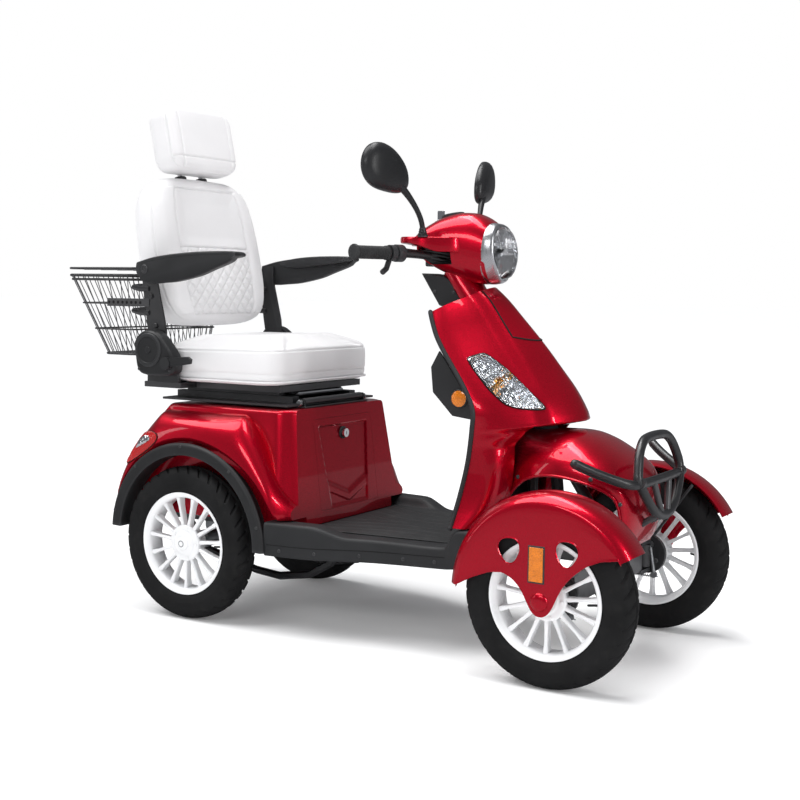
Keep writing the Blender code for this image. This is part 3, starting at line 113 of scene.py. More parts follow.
class Finish:
    """A material built from nodes, with helpers for its grain, tone and wear."""

    def __init__(self, name, colour, roughness, metallic=0.0, **inputs):
        self.material = bpy.data.materials.new(name)
        self.material.use_nodes = True
        self.tree = self.material.node_tree
        self.shader = self.tree.nodes["Principled BSDF"]
        self.place = self.node("ShaderNodeTexCoord").outputs["Object"]
        self.colour = colour
        self.normal = None
        self.shader.inputs["Base Color"].default_value = (*colour, 1.0)
        self.shader.inputs["Roughness"].default_value = roughness
        self.shader.inputs["Metallic"].default_value = metallic
        for key, value in inputs.items():
            self.shader.inputs[key.replace("_", " ")].default_value = value

    def node(self, kind, **settings):
        made = self.tree.nodes.new(kind)
        for key, value in settings.items():
            setattr(made, key, value)
        return made

    def link(self, source, target):
        self.tree.links.new(source, target)

    def noise(self, scale, detail=4.0, stretch=None):
        texture = self.node("ShaderNodeTexNoise")
        texture.inputs["Scale"].default_value = scale
        texture.inputs["Detail"].default_value = detail
        self.link(self.stretched(stretch), texture.inputs["Vector"])
        return texture.outputs["Fac"]

    def stretched(self, stretch):
        if stretch is None:
            return self.place
        mapping = self.node("ShaderNodeMapping")
        mapping.inputs["Scale"].default_value = stretch
        self.link(self.place, mapping.inputs["Vector"])
        return mapping.outputs["Vector"]

    def cells(self, scale, feature="F1", output="Distance"):
        texture = self.node("ShaderNodeTexVoronoi", feature=feature)
        texture.inputs["Scale"].default_value = scale
        self.link(self.place, texture.inputs["Vector"])
        return texture.outputs[output]

    def ranged(self, source, low, high, from_low=0.0, from_high=1.0):
        made = self.node("ShaderNodeMapRange")
        for key, value in (("From Min", from_low), ("From Max", from_high), ("To Min", low),
                ("To Max", high)):
            made.inputs[key].default_value = value
        self.link(source, made.inputs["Value"])
        return made.outputs["Result"]

    def blend(self, share, first, second):
        """A colour between two colours or sockets."""
        mix = self.node("ShaderNodeMix", data_type="RGBA")
        self.link(share, mix.inputs["Factor"])
        for socket, value in ((mix.inputs[6], first), (mix.inputs[7], second)):
            if isinstance(value, tuple):
                socket.default_value = (*value, 1.0)
            else:
                self.link(value, socket)
        return mix.outputs[2]

    def tone(self, amount, scale, detail=4.0, stretch=None):
        """Slow variation of the base colour."""
        dark = tuple(channel * (1.0 - amount) for channel in self.colour)
        light = tuple(min(channel * (1.0 + amount), 1.0) for channel in self.colour)
        share = self.ranged(self.noise(scale, detail, stretch), 0.0, 1.0, 0.3, 0.7)
        self.mixed = self.blend(share, dark, light)
        self.link(self.mixed, self.shader.inputs["Base Color"])
        return self

    def patch(self, share, colour):
        """Lays a second colour over the base where share is one."""
        base = getattr(self, "mixed", self.colour)
        self.mixed = self.blend(share, base, colour)
        self.link(self.mixed, self.shader.inputs["Base Color"])
        return self

    def worn(self, colour, start=0.52, end=0.6):
        """Edges rubbed to another colour."""
        edge = self.node("ShaderNodeNewGeometry").outputs["Pointiness"]
        return self.patch(self.ranged(edge, 0.0, 0.8, start, end), colour)

    def polish(self, low, high, scale, stretch=None):
        source = self.ranged(self.noise(scale, 5.0, stretch), low, high, 0.3, 0.7)
        self.link(source, self.shader.inputs["Roughness"])
        return self

    def bump(self, source, strength, distance):
        made = self.node("ShaderNodeBump")
        made.inputs["Strength"].default_value = strength
        made.inputs["Distance"].default_value = distance
        self.link(source, made.inputs["Height"])
        if self.normal is not None:
            self.link(self.normal, made.inputs["Normal"])
        self.normal = made.outputs["Normal"]
        self.link(self.normal, self.shader.inputs["Normal"])
        return self


def candy_red():
    made = Finish("candy_red", (0.44, 0.0, 0.012), 0.3, 0.78, Coat_Weight=0.9, Coat_Roughness=0.02,
        Coat_IOR=1.38, Specular_IOR_Level=0.15)
    made.tone(0.1, 5.0)
    flakes = made.cells(1500.0, output="Color")
    made.patch(made.ranged(made.cells(1500.0), 0.0, 0.22, 0.15, 0.6), (0.9, 0.002, 0.04))
    made.link(made.ranged(flakes, 0.24, 0.4), made.shader.inputs["Roughness"])
    made.bump(made.cells(1500.0), 0.06, 0.0004)
    return made.material


def moulded_black(name, colour=(0.022, 0.0225, 0.024), low=0.42, high=0.58, depth=0.00022):
    made = Finish(name, tuple(0.72 * channel for channel in colour), 0.5, 0.0, Specular_IOR_Level=0.3)
    made.tone(0.16, 9.0).polish(low, high, 14.0)
    made.worn((0.05, 0.051, 0.054))
    made.bump(made.cells(900.0), 0.3, depth)
    return made.material


def powder_black():
    made = Finish("powder_black", (0.014, 0.014, 0.0155), 0.38, 0.0, Coat_Weight=0.25, Coat_Roughness=0.25)
    made.tone(0.2, 22.0).polish(0.3, 0.46, 30.0)
    made.worn((0.09, 0.09, 0.095), 0.54, 0.66)
    made.bump(made.noise(700.0, 2.0), 0.2, 0.0003)
    return made.material


def tyre_rubber():
    made = Finish("tyre_rubber", (0.0085, 0.0085, 0.009), 0.72, 0.0, Specular_IOR_Level=0.22)
    made.tone(0.25, 14.0).polish(0.62, 0.82, 20.0)
    made.patch(made.ranged(made.noise(40.0, 6.0), 0.0, 0.2, 0.52, 0.75), (0.034, 0.032, 0.03))
    made.bump(made.noise(520.0, 3.0), 0.25, 0.0004)
    return made.material


def wheel_white():
    made = Finish("wheel_white", (0.86, 0.865, 0.875), 0.3, 0.0, Coat_Weight=0.6, Coat_Roughness=0.08)
    made.tone(0.03, 12.0).polish(0.24, 0.38, 25.0)
    made.bump(made.noise(160.0, 3.0), 0.08, 0.0004)
    return made.material


def white_leather():
    made = Finish("white_leather", (0.8, 0.793, 0.8), 0.46, 0.0, Sheen_Weight=0.1, Sheen_Roughness=0.5)
    made.tone(0.025, 7.0).polish(0.38, 0.54, 10.0)
    made.bump(made.ranged(made.cells(330.0, "DISTANCE_TO_EDGE"), 0.0, 1.0, 0.0, 0.18), 0.22, 0.0006)
    made.bump(made.noise(45.0, 5.0), 0.1, 0.0012)
    return made.material


def metal(name, colour, low, high, stretch=None, scale=60.0):
    made = Finish(name, colour, 0.2, 1.0)
    made.tone(0.06, scale * 0.3).polish(low, high, scale, stretch)
    made.bump(made.noise(scale * 5.0, 3.0, stretch), 0.06, 0.0003)
    return made.material


def lens(name, colour, roughness=0.04, flutes=None, transmission=1.0):
    made = Finish(name, colour, roughness, 0.0, Transmission_Weight=transmission, IOR=1.46)
    made.tone(0.04, 20.0)
    made.polish(roughness, roughness + 0.04, 40.0)
    if flutes:
        wave = made.node("ShaderNodeTexWave", bands_direction=flutes[0])
        wave.inputs["Scale"].default_value = flutes[1]
        made.link(made.place, wave.inputs["Vector"])
        made.bump(wave.outputs["Fac"], 0.55, 0.0012)
    else:
        made.bump(made.noise(30.0, 2.0), 0.03, 0.0006)
    return made.material


def reflector(name, colour, scale):
    """Prismatic plastic: small bright cells under a polished face."""
    made = Finish(name, colour, 0.16, 0.15, Coat_Weight=1.0, Coat_Roughness=0.03)
    made.tone(0.12, 60.0)
    made.patch(made.ranged(made.cells(scale, "DISTANCE_TO_EDGE"), 0.75, 0.0, 0.0, 0.12),
        tuple(channel * 0.45 for channel in colour))
    made.bump(made.cells(scale), 0.55, 0.0012)
    return made.material


def faceted_chrome():
    made = Finish("faceted_chrome", (0.86, 0.87, 0.89), 0.1, 1.0)
    made.tone(0.1, 40.0)
    made.polish(0.05, 0.16, 30.0)
    made.bump(made.cells(95.0), 0.85, 0.0035)
    return made.material


def mat_rubber():
    made = Finish("mat_rubber", (0.026, 0.027, 0.028), 0.62, 0.0, Specular_IOR_Level=0.3)
    made.tone(0.15, 12.0).polish(0.52, 0.72, 16.0)
    made.patch(made.ranged(made.noise(26.0, 6.0), 0.0, 0.1, 0.55, 0.75), (0.11, 0.105, 0.1))
    made.bump(made.cells(700.0), 0.35, 0.0004)
    return made.material


def dark_gap():
    made = Finish("shadow_gap", (0.004, 0.004, 0.0045), 0.9, 0.0)
    made.tone(0.3, 30.0)
    return made.material


RED = candy_red()
PLASTIC = moulded_black("moulded_black")
FLOOR_PLASTIC = moulded_black("floor_black", (0.03, 0.031, 0.033), 0.46, 0.62, 0.00035)
ARM_PLASTIC = moulded_black("arm_black", (0.02, 0.0205, 0.022), 0.34, 0.5)
MIRROR_BLACK = moulded_black("mirror_black", (0.02, 0.0205, 0.022), 0.26, 0.38, 0.0001)
STEEL_BLACK = powder_black()
TYRE = tyre_rubber()
WHITE = wheel_white()
LEATHER = white_leather()
CHROME = metal("chrome", (0.9, 0.91, 0.93), 0.04, 0.1)
SILVER = metal("brushed_silver", (0.62, 0.63, 0.65), 0.22, 0.36, (1.0, 30.0, 1.0))
CAST = metal("cast_grey", (0.3, 0.31, 0.32), 0.38, 0.55)
GLASS = lens("clear_lens", (0.97, 0.98, 1.0))
FLUTED = lens("fluted_lens", (0.95, 0.97, 1.0), 0.05, ("Y", 60.0))
AMBER_LENS = reflector("amber_reflector", (0.82, 0.22, 0.005), 240.0)
AMBER_BULB = lens("amber_bulb", (1.0, 0.42, 0.04), 0.08)
RED_LENS = lens("red_lens", (0.85, 0.03, 0.03), 0.1, ("X", 90.0), 0.55)
FACETS = faceted_chrome()
RUBBER = mat_rubber()
GAP = dark_gap()
MIRROR = metal("mirror_glass", (0.92, 0.93, 0.94), 0.015, 0.03)


# ---------------------------------------------------------------- Shapes

def linked(name, data):
    """A new object in the scene."""
    thing = bpy.data.objects.new(name, data)
    bpy.context.scene.collection.objects.link(thing)
    return thing


@contextlib.contextmanager
def editing(mesh):
    """Opens a mesh for bmesh work and writes it back."""
    made = bmesh.new()
    made.from_mesh(mesh)
    yield made
    made.to_mesh(mesh)
    made.free()


def crisp(made, angle):
    """Smooth shading that keeps edges sharper than an angle in degrees."""
    for edge in made.edges:
        edge.smooth = edge.calc_face_angle(0.0) < math.radians(angle)
    for face in made.faces:
        face.smooth = True


def piece(name, points, faces, material, body, replaces=(), angle=40.0, outward=True):
    """A visible object from points and faces, riding on a body."""
    mesh = bpy.data.meshes.new(name)
    mesh.from_pydata([tuple(point) for point in points], [], faces)
    with editing(mesh) as made:
        bmesh.ops.remove_doubles(made, verts=made.verts, dist=1e-6)
        bmesh.ops.dissolve_degenerate(made, edges=made.edges, dist=1e-6)
        if outward:
            bmesh.ops.recalc_face_normals(made, faces=made.faces)
        crisp(made, angle)
    mesh.materials.append(material)
    thing = linked(name, mesh)
    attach(thing, body)
    if replaces:
        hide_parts(*([replaces] if isinstance(replaces, str) else replaces))
    return thing


def grid_faces(rows, columns, wrap=False, start=0):
    faces = []
    last = columns if wrap else columns - 1
    for row in range(rows - 1):
        for column in range(last):
            after = (column + 1) % columns
            faces.append((start + row * columns + column, start + row * columns + after,
                start + (row + 1) * columns + after, start + (row + 1) * columns + column))
    return faces


def lofted(rings, caps=True, start=0):
    """Points and faces of closed rings joined in order."""
    columns = len(rings[0])
    points = [tuple(point) for ring in rings for point in ring]
    faces = grid_faces(len(rings), columns, True, start)
    if caps:
        faces.append(tuple(range(start, start + columns)))
        faces.append(tuple(range(start + (len(rings) - 1) * columns, start + len(rings) * columns)))
    return points, faces


def loft_piece(name, rings, material, body, **options):
    points, faces = lofted(rings)
    return piece(name, points, faces, material, body, **options)


def sheet_piece(name, grid, material, body, thickness, **options):
    """A shell from a grid of points. A positive thickness goes against the grid's normals."""
    points = [point for row in grid for point in row]
    made = piece(name, points, grid_faces(len(grid), len(grid[0])), material, body, outward=False,
        **options)
    thicken = made.modifiers.new("wall", "SOLIDIFY")
    thicken.thickness = abs(thickness)
    thicken.offset = -1.0 if thickness > 0 else 1.0
    thicken.use_rim = True
    return made


def tube_rings(path, radius, sides, closed=False):
    """Rings along a path. The radius is one number, or one for each point."""
    path = [Vector(point) for point in path]
    count = len(path)
    radii = radius if isinstance(radius, (list, tuple)) else [radius] * count
    rings = []
    across = None
    for index, point in enumerate(path):
        if closed:
            along = (path[(index + 1) % count] - path[index - 1]).normalized()
        else:
            along = (path[min(index + 1, count - 1)] - path[max(index - 1, 0)]).normalized()
        if across is None:
            across = along.orthogonal().normalized()
        across = (across - along * across.dot(along)).normalized()
        other = along.cross(across)
        rings.append([point + (across * math.cos(turn) + other * math.sin(turn)) * radii[index]
            for turn in circle(sides)])
    return rings


class Bundle:
    """Many tubes and blocks gathered into one piece."""

    def __init__(self):
        self.points = []
        self.faces = []

    def add(self, points, faces):
        start = len(self.points)
        self.points += points
        self.faces += [tuple(index + start for index in face) for face in faces]

    def loft(self, rings, caps=True):
        self.add(*lofted(rings, caps))

    def tube(self, path, radius, sides=8, closed=False):
        rings = tube_rings(path, radius, sides, closed)
        if closed:
            rings.append(rings[0])
        self.loft(rings, not closed)

    def capped_tube(self, path, radius, sides=16):
        """A tube whose ends are domed."""
        path = [Vector(point) for point in path]
        start, end = path[0], path[-1]
        back = (start - path[1]).normalized()
        ahead = (end - path[-2]).normalized()
        dome = [(1.0, 0.25), (0.86, 0.62), (0.5, 0.87), (0.0, 0.98)]
        places = [start + back * radius * reach for reach, _ in dome] + path
        radii = [radius * size for _, size in dome] + [radius] * len(path)
        places += [end + ahead * radius * reach for reach, _ in reversed(dome)]
        radii += [radius * size for _, size in reversed(dome)]
        self.loft(tube_rings(places, radii, sides))

    def turned(self, profile, centre, side, steps=48, wrap=False):
        """A shape turned about a crosswise axis from (radius, offset outwards) pairs."""
        rings = [[swung(centre, radius, turn, centre[1] + side * offset) for turn in circle(steps)]
            for radius, offset in profile]
        if wrap:
            rings.append(rings[0])
        self.loft(rings, not wrap)

    def block(self, low, high):
        (x0, x1), (y0, y1), (z0, z1) = (sorted(pair) for pair in zip(low, high))
        self.loft([[(x0, y0, z), (x1, y0, z), (x1, y1, z), (x0, y1, z)] for z in (z0, z1)])

    def disc(self, centre, axis, profile, steps=32):
        """A shape turned about any axis from (radius, distance along) pairs."""
        axis = Vector(axis).normalized()
        across = axis.orthogonal().normalized()
        other = axis.cross(across)
        self.loft([[Vector(centre) + axis * along + (across * math.cos(turn) + other * math.sin(turn))
            * radius for turn in circle(steps)] for radius, along in profile])

    def make(self, name, material, body, bevel=0.0, **options):
        thing = piece(name, self.points, self.faces, material, body, **options)
        if bevel:
            soften(thing, bevel)
        return thing


def discs(name, material, body, spots, axis, profile, steps=32, **options):
    """One piece of equal turned shapes. With no axis each faces straight out of its own side."""
    made = Bundle()
    for spot in spots:
        made.disc(spot, axis or (0.0, math.copysign(1.0, spot[1]), 0.0), profile, steps)
    return made.make(name, material, body, **options)


def blocks(name, material, body, corners, **options):
    """One piece of blocks, each given by two opposite corners."""
    made = Bundle()
    for low, high in corners:
        made.block(low, high)
    return made.make(name, material, body, **options)


def rod(name, material, body, path, radius, sides, kind="domed", **options):
    """A piece that is one round bar: with domed or plain ends, or a closed ring."""
    made = Bundle()
    if kind == "domed":
        made.capped_tube(path, radius, sides)
    else:
        made.tube(path, radius, sides, kind == "ring")
    return made.make(name, material, body, **options)


def shrunk(outline, share):
    """A flat outline drawn in towards its middle."""
    middle = [sum(column) / len(outline) for column in zip(*outline)]
    return [tuple(centre + (value - centre) * share for centre, value in zip(middle, point))
        for point in outline]


def soften(thing, width, segments=2, angle=35.0):
    edge = thing.modifiers.new("edge", "BEVEL")
    edge.width = width
    edge.segments = segments
    edge.limit_method = "ANGLE"
    edge.angle_limit = math.radians(angle)
    edge.use_clamp_overlap = True
    edge.harden_normals = True
    return thing


def refined(node, material, width=0.0012, segments=2, angle=35.0, name=None):
    """A copy of a CAD node's mesh with its flat faces merged and its edges rounded."""
    mesh = NODES[node].data.copy()
    mesh.materials.clear()
    mesh.materials.append(material)
    with editing(mesh) as made:
        bmesh.ops.remove_doubles(made, verts=made.verts, dist=1e-5)
        bmesh.ops.dissolve_limit(made, angle_limit=math.radians(1.0), verts=made.verts, edges=made.edges)
        bmesh.ops.recalc_face_normals(made, faces=made.faces)
        crisp(made, angle)
    thing = linked(name or node + "_shell", mesh)
    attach(thing, BODY_OF[node])
    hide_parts(node)
    if width:
        soften(thing, width, segments, angle)
    return thing


def baked(thing):
    """Applies an object's modifiers to its mesh."""
    graph = bpy.context.evaluated_depsgraph_get()
    mesh = bpy.data.meshes.new_from_object(thing.evaluated_get(graph), depsgraph=graph)
    thing.modifiers.clear()
    old = thing.data
    thing.data = mesh
    bpy.data.meshes.remove(old)
    return thing


def cut(thing, tool_points, tool_faces):
    """Takes a closed shape out of an object."""
    mesh = bpy.data.meshes.new("tool")
    mesh.from_pydata([tuple(point) for point in tool_points], [], tool_faces)
    with editing(mesh) as made:
        bmesh.ops.recalc_face_normals(made, faces=made.faces)
    tool = linked("tool", mesh)
    change = thing.modifiers.new("cut", "BOOLEAN")
    change.operation = "DIFFERENCE"
    change.solver = "EXACT"
    change.object = tool
    baked(thing)
    bpy.data.objects.remove(tool)
    bpy.data.meshes.remove(mesh)
    with editing(thing.data) as made:
        crisp(made, 35.0)


def scooped(thing, low, high):
    """Takes a block out of an object."""
    tool = Bundle()
    tool.block(low, high)
    cut(thing, tool.points, tool.faces)


def drilled(thing, start, axis, radius, length, steps=32):
    """Takes a round bar out of an object."""
    tool = Bundle()
    tool.disc(start, axis, [(radius, 0.0), (radius, length)], steps)
    cut(thing, tool.points, tool.faces)


def at_side(side, x, y, z):
    """A place given for the left side, on the side asked for."""
    return Vector((x, side * y, z))


# ---------------------------------------------------------------- Camera, floor and lights

SKY_LIGHT, SKY_REFLECTION = 0.3, 0.15
FLOOR_REACH = 60.0


def make_camera():
    azimuth, pitch, roll = math.radians(31.594), math.radians(4.993), math.radians(0.611)
    back = Vector((math.sin(azimuth) * math.cos(pitch), -math.cos(azimuth) * math.cos(pitch),
        math.sin(pitch)))
    right = Vector((math.cos(azimuth), math.sin(azimuth), 0.0))
    up = back.cross(right)
    level = right * math.cos(roll) + up * math.sin(roll)
    upright = up * math.cos(roll) - right * math.sin(roll)
    camera = linked("camera", bpy.data.cameras.new("camera"))
    place = Matrix((level, upright, back)).transposed().to_4x4()
    place.translation = Vector((1.903, -2.919, 0.893))
    camera.matrix_world = place
    camera.data.lens = 58.4
    camera.data.sensor_width = 36.0
    bpy.context.scene.camera = camera


def soft_light(name, place, aim, size, power):
    lamp = bpy.data.lights.new(name, "AREA")
    lamp.shape = "RECTANGLE"
    lamp.size, lamp.size_y = size
    lamp.energy = power
    thing = linked(name, lamp)
    thing.location = place
    thing.rotation_euler = (Vector(aim) - Vector(place)).to_track_quat("-Z", "Y").to_euler()


def mixed_by_ray(tree, ray, first, second, output):
    """Sends one shader to most rays and another to a kind of ray."""
    path = tree.nodes.new("ShaderNodeLightPath")
    mix = tree.nodes.new("ShaderNodeMixShader")
    tree.links.new(path.outputs[ray], mix.inputs["Fac"])
    tree.links.new(first, mix.inputs[1])
    tree.links.new(second, mix.inputs[2])
    tree.links.new(mix.outputs["Shader"], tree.nodes[output].inputs["Surface"])
    return path


def studio_world():
    """White to the eye, with a dimmer sky for light and reflections."""
    world = bpy.data.worlds.new("studio")
    world.use_nodes = True
    tree = world.node_tree
    seen = tree.nodes["Background"]
    seen.inputs["Color"].default_value = (1.0, 1.0, 1.0, 1.0)
    lighting = tree.nodes.new("ShaderNodeBackground")
    lighting.inputs["Color"].default_value = (0.93, 0.95, 1.0, 1.0)
    path = mixed_by_ray(tree, "Is Camera Ray", lighting.outputs["Background"], seen.outputs["Background"],
        "World Output")
    dimmed = tree.nodes.new("ShaderNodeMapRange")
    dimmed.inputs["To Min"].default_value = SKY_LIGHT
    dimmed.inputs["To Max"].default_value = SKY_REFLECTION
    tree.links.new(path.outputs["Is Glossy Ray"], dimmed.inputs["Value"])
    tree.links.new(dimmed.outputs["Result"], lighting.inputs["Strength"])
    bpy.context.scene.world = world


def make_studio():
    floor = Finish("studio_floor", (0.97, 0.97, 0.97), 0.9)
    floor.tone(0.004, 0.8)
    floor.shader.inputs["Emission Color"].default_value = (1.0, 1.0, 1.0, 1.0)
    floor.shader.inputs["Emission Strength"].default_value = 0.1
    tree = floor.material.node_tree
    mirrored = tree.nodes.new("ShaderNodeBsdfDiffuse")
    mirrored.inputs["Color"].default_value = (0.36, 0.36, 0.37, 1.0)
    mixed_by_ray(tree, "Is Glossy Ray", floor.shader.outputs["BSDF"], mirrored.outputs["BSDF"],
        "Material Output")
    mesh = bpy.data.meshes.new("studio_floor")
    corners = ((-1, -1), (1, -1), (1, 1), (-1, 1))
    mesh.from_pydata([(FLOOR_REACH * x, FLOOR_REACH * y, 0.0) for x, y in corners], [], [(0, 1, 2, 3)])
    mesh.materials.append(floor.material)
    thing = linked("studio_floor", mesh)
    studio_world()
    sun = bpy.data.lights.new("sun", "SUN")
    sun.energy = 2.45
    sun.angle = math.radians(48.0)
    linked("sun", sun).rotation_euler = Vector((0.42, 0.22, -1.0)).to_track_quat("-Z", "Y").to_euler()
    soft_light("key", (0.4, -4.2, 2.6), (0.0, 0.0, 0.6), (2.4, 0.7), 36.0)
    soft_light("side", (-3.4, -2.8, 1.6), (-0.2, 0.0, 0.6), (0.35, 2.2), 9.0)
    soft_light("top", (0.2, 0.2, 3.8), (0.0, 0.0, 0.5), (3.0, 0.8), 58.0)
    soft_light("front", (4.2, -0.8, 1.7), (0.5, 0.0, 0.6), (0.5, 2.2), 54.0)
    bpy.context.scene.view_settings.view_transform = "Standard"


make_camera()
make_studio()


# ---------------------------------------------------------------- Wheels

TYRE_SECTION = [(0.129, -0.029), (0.1385, -0.03), (0.1405, -0.0325), (0.148, -0.036), (0.158, -0.0377),
    (0.168, -0.038), (0.178, -0.0372), (0.188, -0.0348), (0.195, -0.031), (0.2005, -0.025),
    (0.2035, -0.017), (0.2048, -0.008), (0.205, 0.0)]
TREAD_PITCHES, TREAD_START, TREAD_HALF, TREAD_DEPTH = 34, 0.185, 0.0345, 0.005


def groove_depth(turn, across):
    """How deep the tread is cut at an angle and a sideways place from -1 to 1."""
    reach = abs(across)
    if reach > 1.0:
        return 0.0
    lead = 0.5 if across > 0.0 else 0.0
    phase = (turn / (2.0 * math.pi) * TREAD_PITCHES + lead + 0.75 * reach ** 1.4) % 1.0
    centred = min(phase, 1.0 - phase)
    slot = ease(centred, 0.13, 0.07) * ease(reach, 0.16, 0.26) * ease(reach, 0.99, 0.9)
    ring = ease(abs(reach - 0.1), 0.05, 0.02)
    return TREAD_DEPTH * max(slot, ring * 0.7)


def tyre_rings(centre, side, steps):
    half = densify(TYRE_SECTION, 3, 0.5)
    section = half + [(radius, -offset) for radius, offset in reversed(half[:-1])]
    section += [(0.1284, 0.02), (0.1284, -0.02)]
    rings = []
    for turn in circle(steps):
        ring = []
        for radius, offset in section:
            if radius > TREAD_START:
                radius -= groove_depth(turn, offset / TREAD_HALF)
            bulge = 0.0006 * ease(abs(radius - 0.16), 0.0022, 0.0012)
            width = offset + math.copysign(bulge, offset)
            ring.append(swung(centre, radius, turn, centre[1] + side * width))
        rings.append(ring)
    rings.append(rings[0])
    return rings


def make_tyre(name, centre, side, body):
    points, faces = lofted(tyre_rings(centre, side, 544), caps=False)
    piece(name + "_tread", points, faces, TYRE, body, replaces=name, angle=32.0)


RIM_BARREL = [(0.1375, -0.0335), (0.1375, -0.031), (0.134, -0.0295), (0.129, -0.026), (0.1255, -0.012),
    (0.125, 0.0), (0.1255, 0.012), (0.129, 0.026), (0.134, 0.0295), (0.1375, 0.031), (0.1375, 0.0335),
    (0.1335, 0.034), (0.129, 0.0315), (0.1245, 0.027), (0.1215, 0.02), (0.1205, 0.0), (0.1215, -0.02),
    (0.1245, -0.029), (0.131, -0.0335), (0.1345, -0.0345)]


def spoke_rings(centre, side, turn, width, face, back):
    """A tapered, slightly dished spoke from the hub to the barrel."""
    rings = []
    along = Vector((math.cos(turn), 0.0, math.sin(turn)))
    across = Vector((-math.sin(turn), 0.0, math.cos(turn)))
    for radius, wide, front, rear in ((0.04, 1.35, 0.0, 0.0), (0.07, 1.0, -0.0015, 0.001),
            (0.1, 0.95, -0.001, 0.002), (0.1225, 1.5, 0.001, 0.004)):
        half = width * wide / 2.0
        chamfer = half * 0.45
        outer, inner = face + front, back - rear
        section = [(-half, inner), (-half, outer - chamfer), (-half + chamfer, outer),
            (half - chamfer, outer), (half, outer - chamfer), (half, inner)]
        rings.append([Vector(centre) + along * radius + across * step + Vector((0.0, side * out, 0.0))
            for step, out in section])
    return rings


AXLE_BORE = 0.0107


def make_rim(name, centre, side, body):
    wheel = Bundle()
    wheel.turned(densify(RIM_BARREL + [RIM_BARREL[0]], 3, 0.45), centre, side, 120, wrap=True)
    for index in range(15):
        turn = 2.0 * math.pi * (index + 0.25) / 15
        wheel.loft(spoke_rings(centre, side, turn, 0.0085, 0.021, 0.003))
    wheel.turned(densify([(AXLE_BORE, -0.026), (0.034, -0.026), (0.036, -0.02), (0.043, 0.002),
        (0.049, 0.014), (0.049, 0.0225), (0.045, 0.0245), (0.033, 0.025), (0.03, 0.029), (0.02, 0.03),
        (AXLE_BORE, 0.03)], 3, 0.4), centre, side, 64)
    for turn in circle(5):
        bolt = swung(centre, 0.04, turn, centre[1] + side * 0.024)
        wheel.disc(bolt, (0.0, side, 0.0), [(0.0042, -0.002), (0.0042, 0.0022), (0.0026, 0.003)], 6)
    wheel.make(name + "_cast", WHITE, body, replaces=name, angle=35.0)
    foot = Vector(centre) + Vector((0.122, side * 0.006, 0.0))
    rod(name + "_valve", RUBBER, body, [foot, foot + Vector((-0.01, side * 0.004, 0.0)),
        foot + Vector((-0.022, side * 0.012, 0.0))], 0.0028, 12)


def make_wheel(end, side_name, side, axle, half_track):
    body = f"{end}_wheel_{side_name}"
    centre = (axle.x, side * half_track, axle.z)
    make_tyre(f"{end}_tyre_{side_name}", centre, side, body)
    make_rim(f"{end}_rim_{side_name}", centre, side, body)
    face = (axle.x, centre[1] + side * 0.0302, axle.z)
    if end == "rear":
        discs(f"rear_cap_{side_name}", WHITE, body, [face], None, [(0.018, 0.0), (0.018, 0.003),
            (0.013, 0.007), (0.005, 0.008)])
    else:
        cap = Bundle()
        cap.disc(face, (0.0, side, 0.0), [(0.0165, 0.0), (0.0165, 0.002), (0.015, 0.003)])
        cap.disc(face, (0.0, side, 0.0), [(0.0145, 0.0028), (0.0145, 0.009), (0.0125, 0.01)], 6)
        cap.make(f"front_nut_{side_name}", SILVER, body)


for side_name, side in SIDES:
    make_wheel("rear", side_name, side, REAR_AXLE, 0.284)
    make_wheel("front", side_name, side, FRONT_AXLE, 0.316)


# ---------------------------------------------------------------- Front corners

FENDER_RIDGE = [(0.268, 0.2335), (0.28, 0.2385), (0.296, 0.2405), (0.316, 0.2412), (0.336, 0.2395),
    (0.35, 0.2345), (0.359, 0.2275), (0.3645, 0.22)]
FENDER_EDGE = [(0.2, 0.116), (0.17, 0.111), (0.14, 0.107), (0.105, 0.092), (0.075, 0.068), (0.053, 0.044),
    (0.036, 0.014), (0.024, -0.016), (0.012, -0.03), (-0.002, -0.035), (-0.018, -0.03), (-0.032, -0.008),
    (-0.044, 0.018), (-0.066, 0.042), (-0.095, 0.056), (-0.13, 0.052), (-0.175, 0.034), (-0.216, 0.01)]
FENDER_CORNER, FENDER_FACE = 0.214, 0.3655
FENDER_HOLES = [(0.06, 0.114, 1.0), (-0.08, 0.108, -1.0)]


def edge_height(place):
    previous = FENDER_EDGE[0]
    for corner in FENDER_EDGE[1:]:
        if corner[0] <= place <= previous[0]:
            return lerp(previous[1], corner[1], (previous[0] - place) / (previous[0] - corner[0]))
        previous = corner
    return FENDER_EDGE[0][1] if place > FENDER_EDGE[0][0] else FENDER_EDGE[-1][1]


def soft_edge_height(place):
    samples = [edge_height(place + step * 0.0035) for step in (-2, -1, 0, 1, 2)]
    return sum(samples) / len(samples)


def fender_grid(side):
    grid = []
    ridge = densify(FENDER_RIDGE, 3, 0.5)
    count = 110
    for index in range(count + 1):
        angle = math.radians(lerp(30.0, 177.0, index / count))
        row = [swung(FRONT_AXLE, radius, angle, side * depth) for depth, radius in ridge]
        ahead = FENDER_CORNER * math.cos(angle)
        top = FENDER_CORNER * math.sin(angle)
        foot = min(soft_edge_height(ahead), top - 0.004)
        for step in range(13):
            share = step / 12
            height = lerp(top, foot, share)
            lip = 0.001 * ease(height - foot, 0.006, 0.0)
            out = 0.3665 + 0.0012 * ease(share, 0.0, 0.25) + lip - 0.0006
            row.append((FRONT_AXLE.x + ahead, side * min(out, 0.3678), FRONT_AXLE.z + height))
        grid.append(row)
    return grid


def hole_outline(ahead, up, lean, size):
    """The rounded, slightly triangular opening in the fender's side."""
    points = []
    for turn in circle(36):
        reach = size * (1.0 + 0.07 * math.cos(3.0 * turn - math.pi / 2.0 + 0.25 * lean))
        points.append((FRONT_AXLE.x + ahead + reach * math.cos(turn),
            FRONT_AXLE.z + up + reach * 1.08 * math.sin(turn)))
    return points


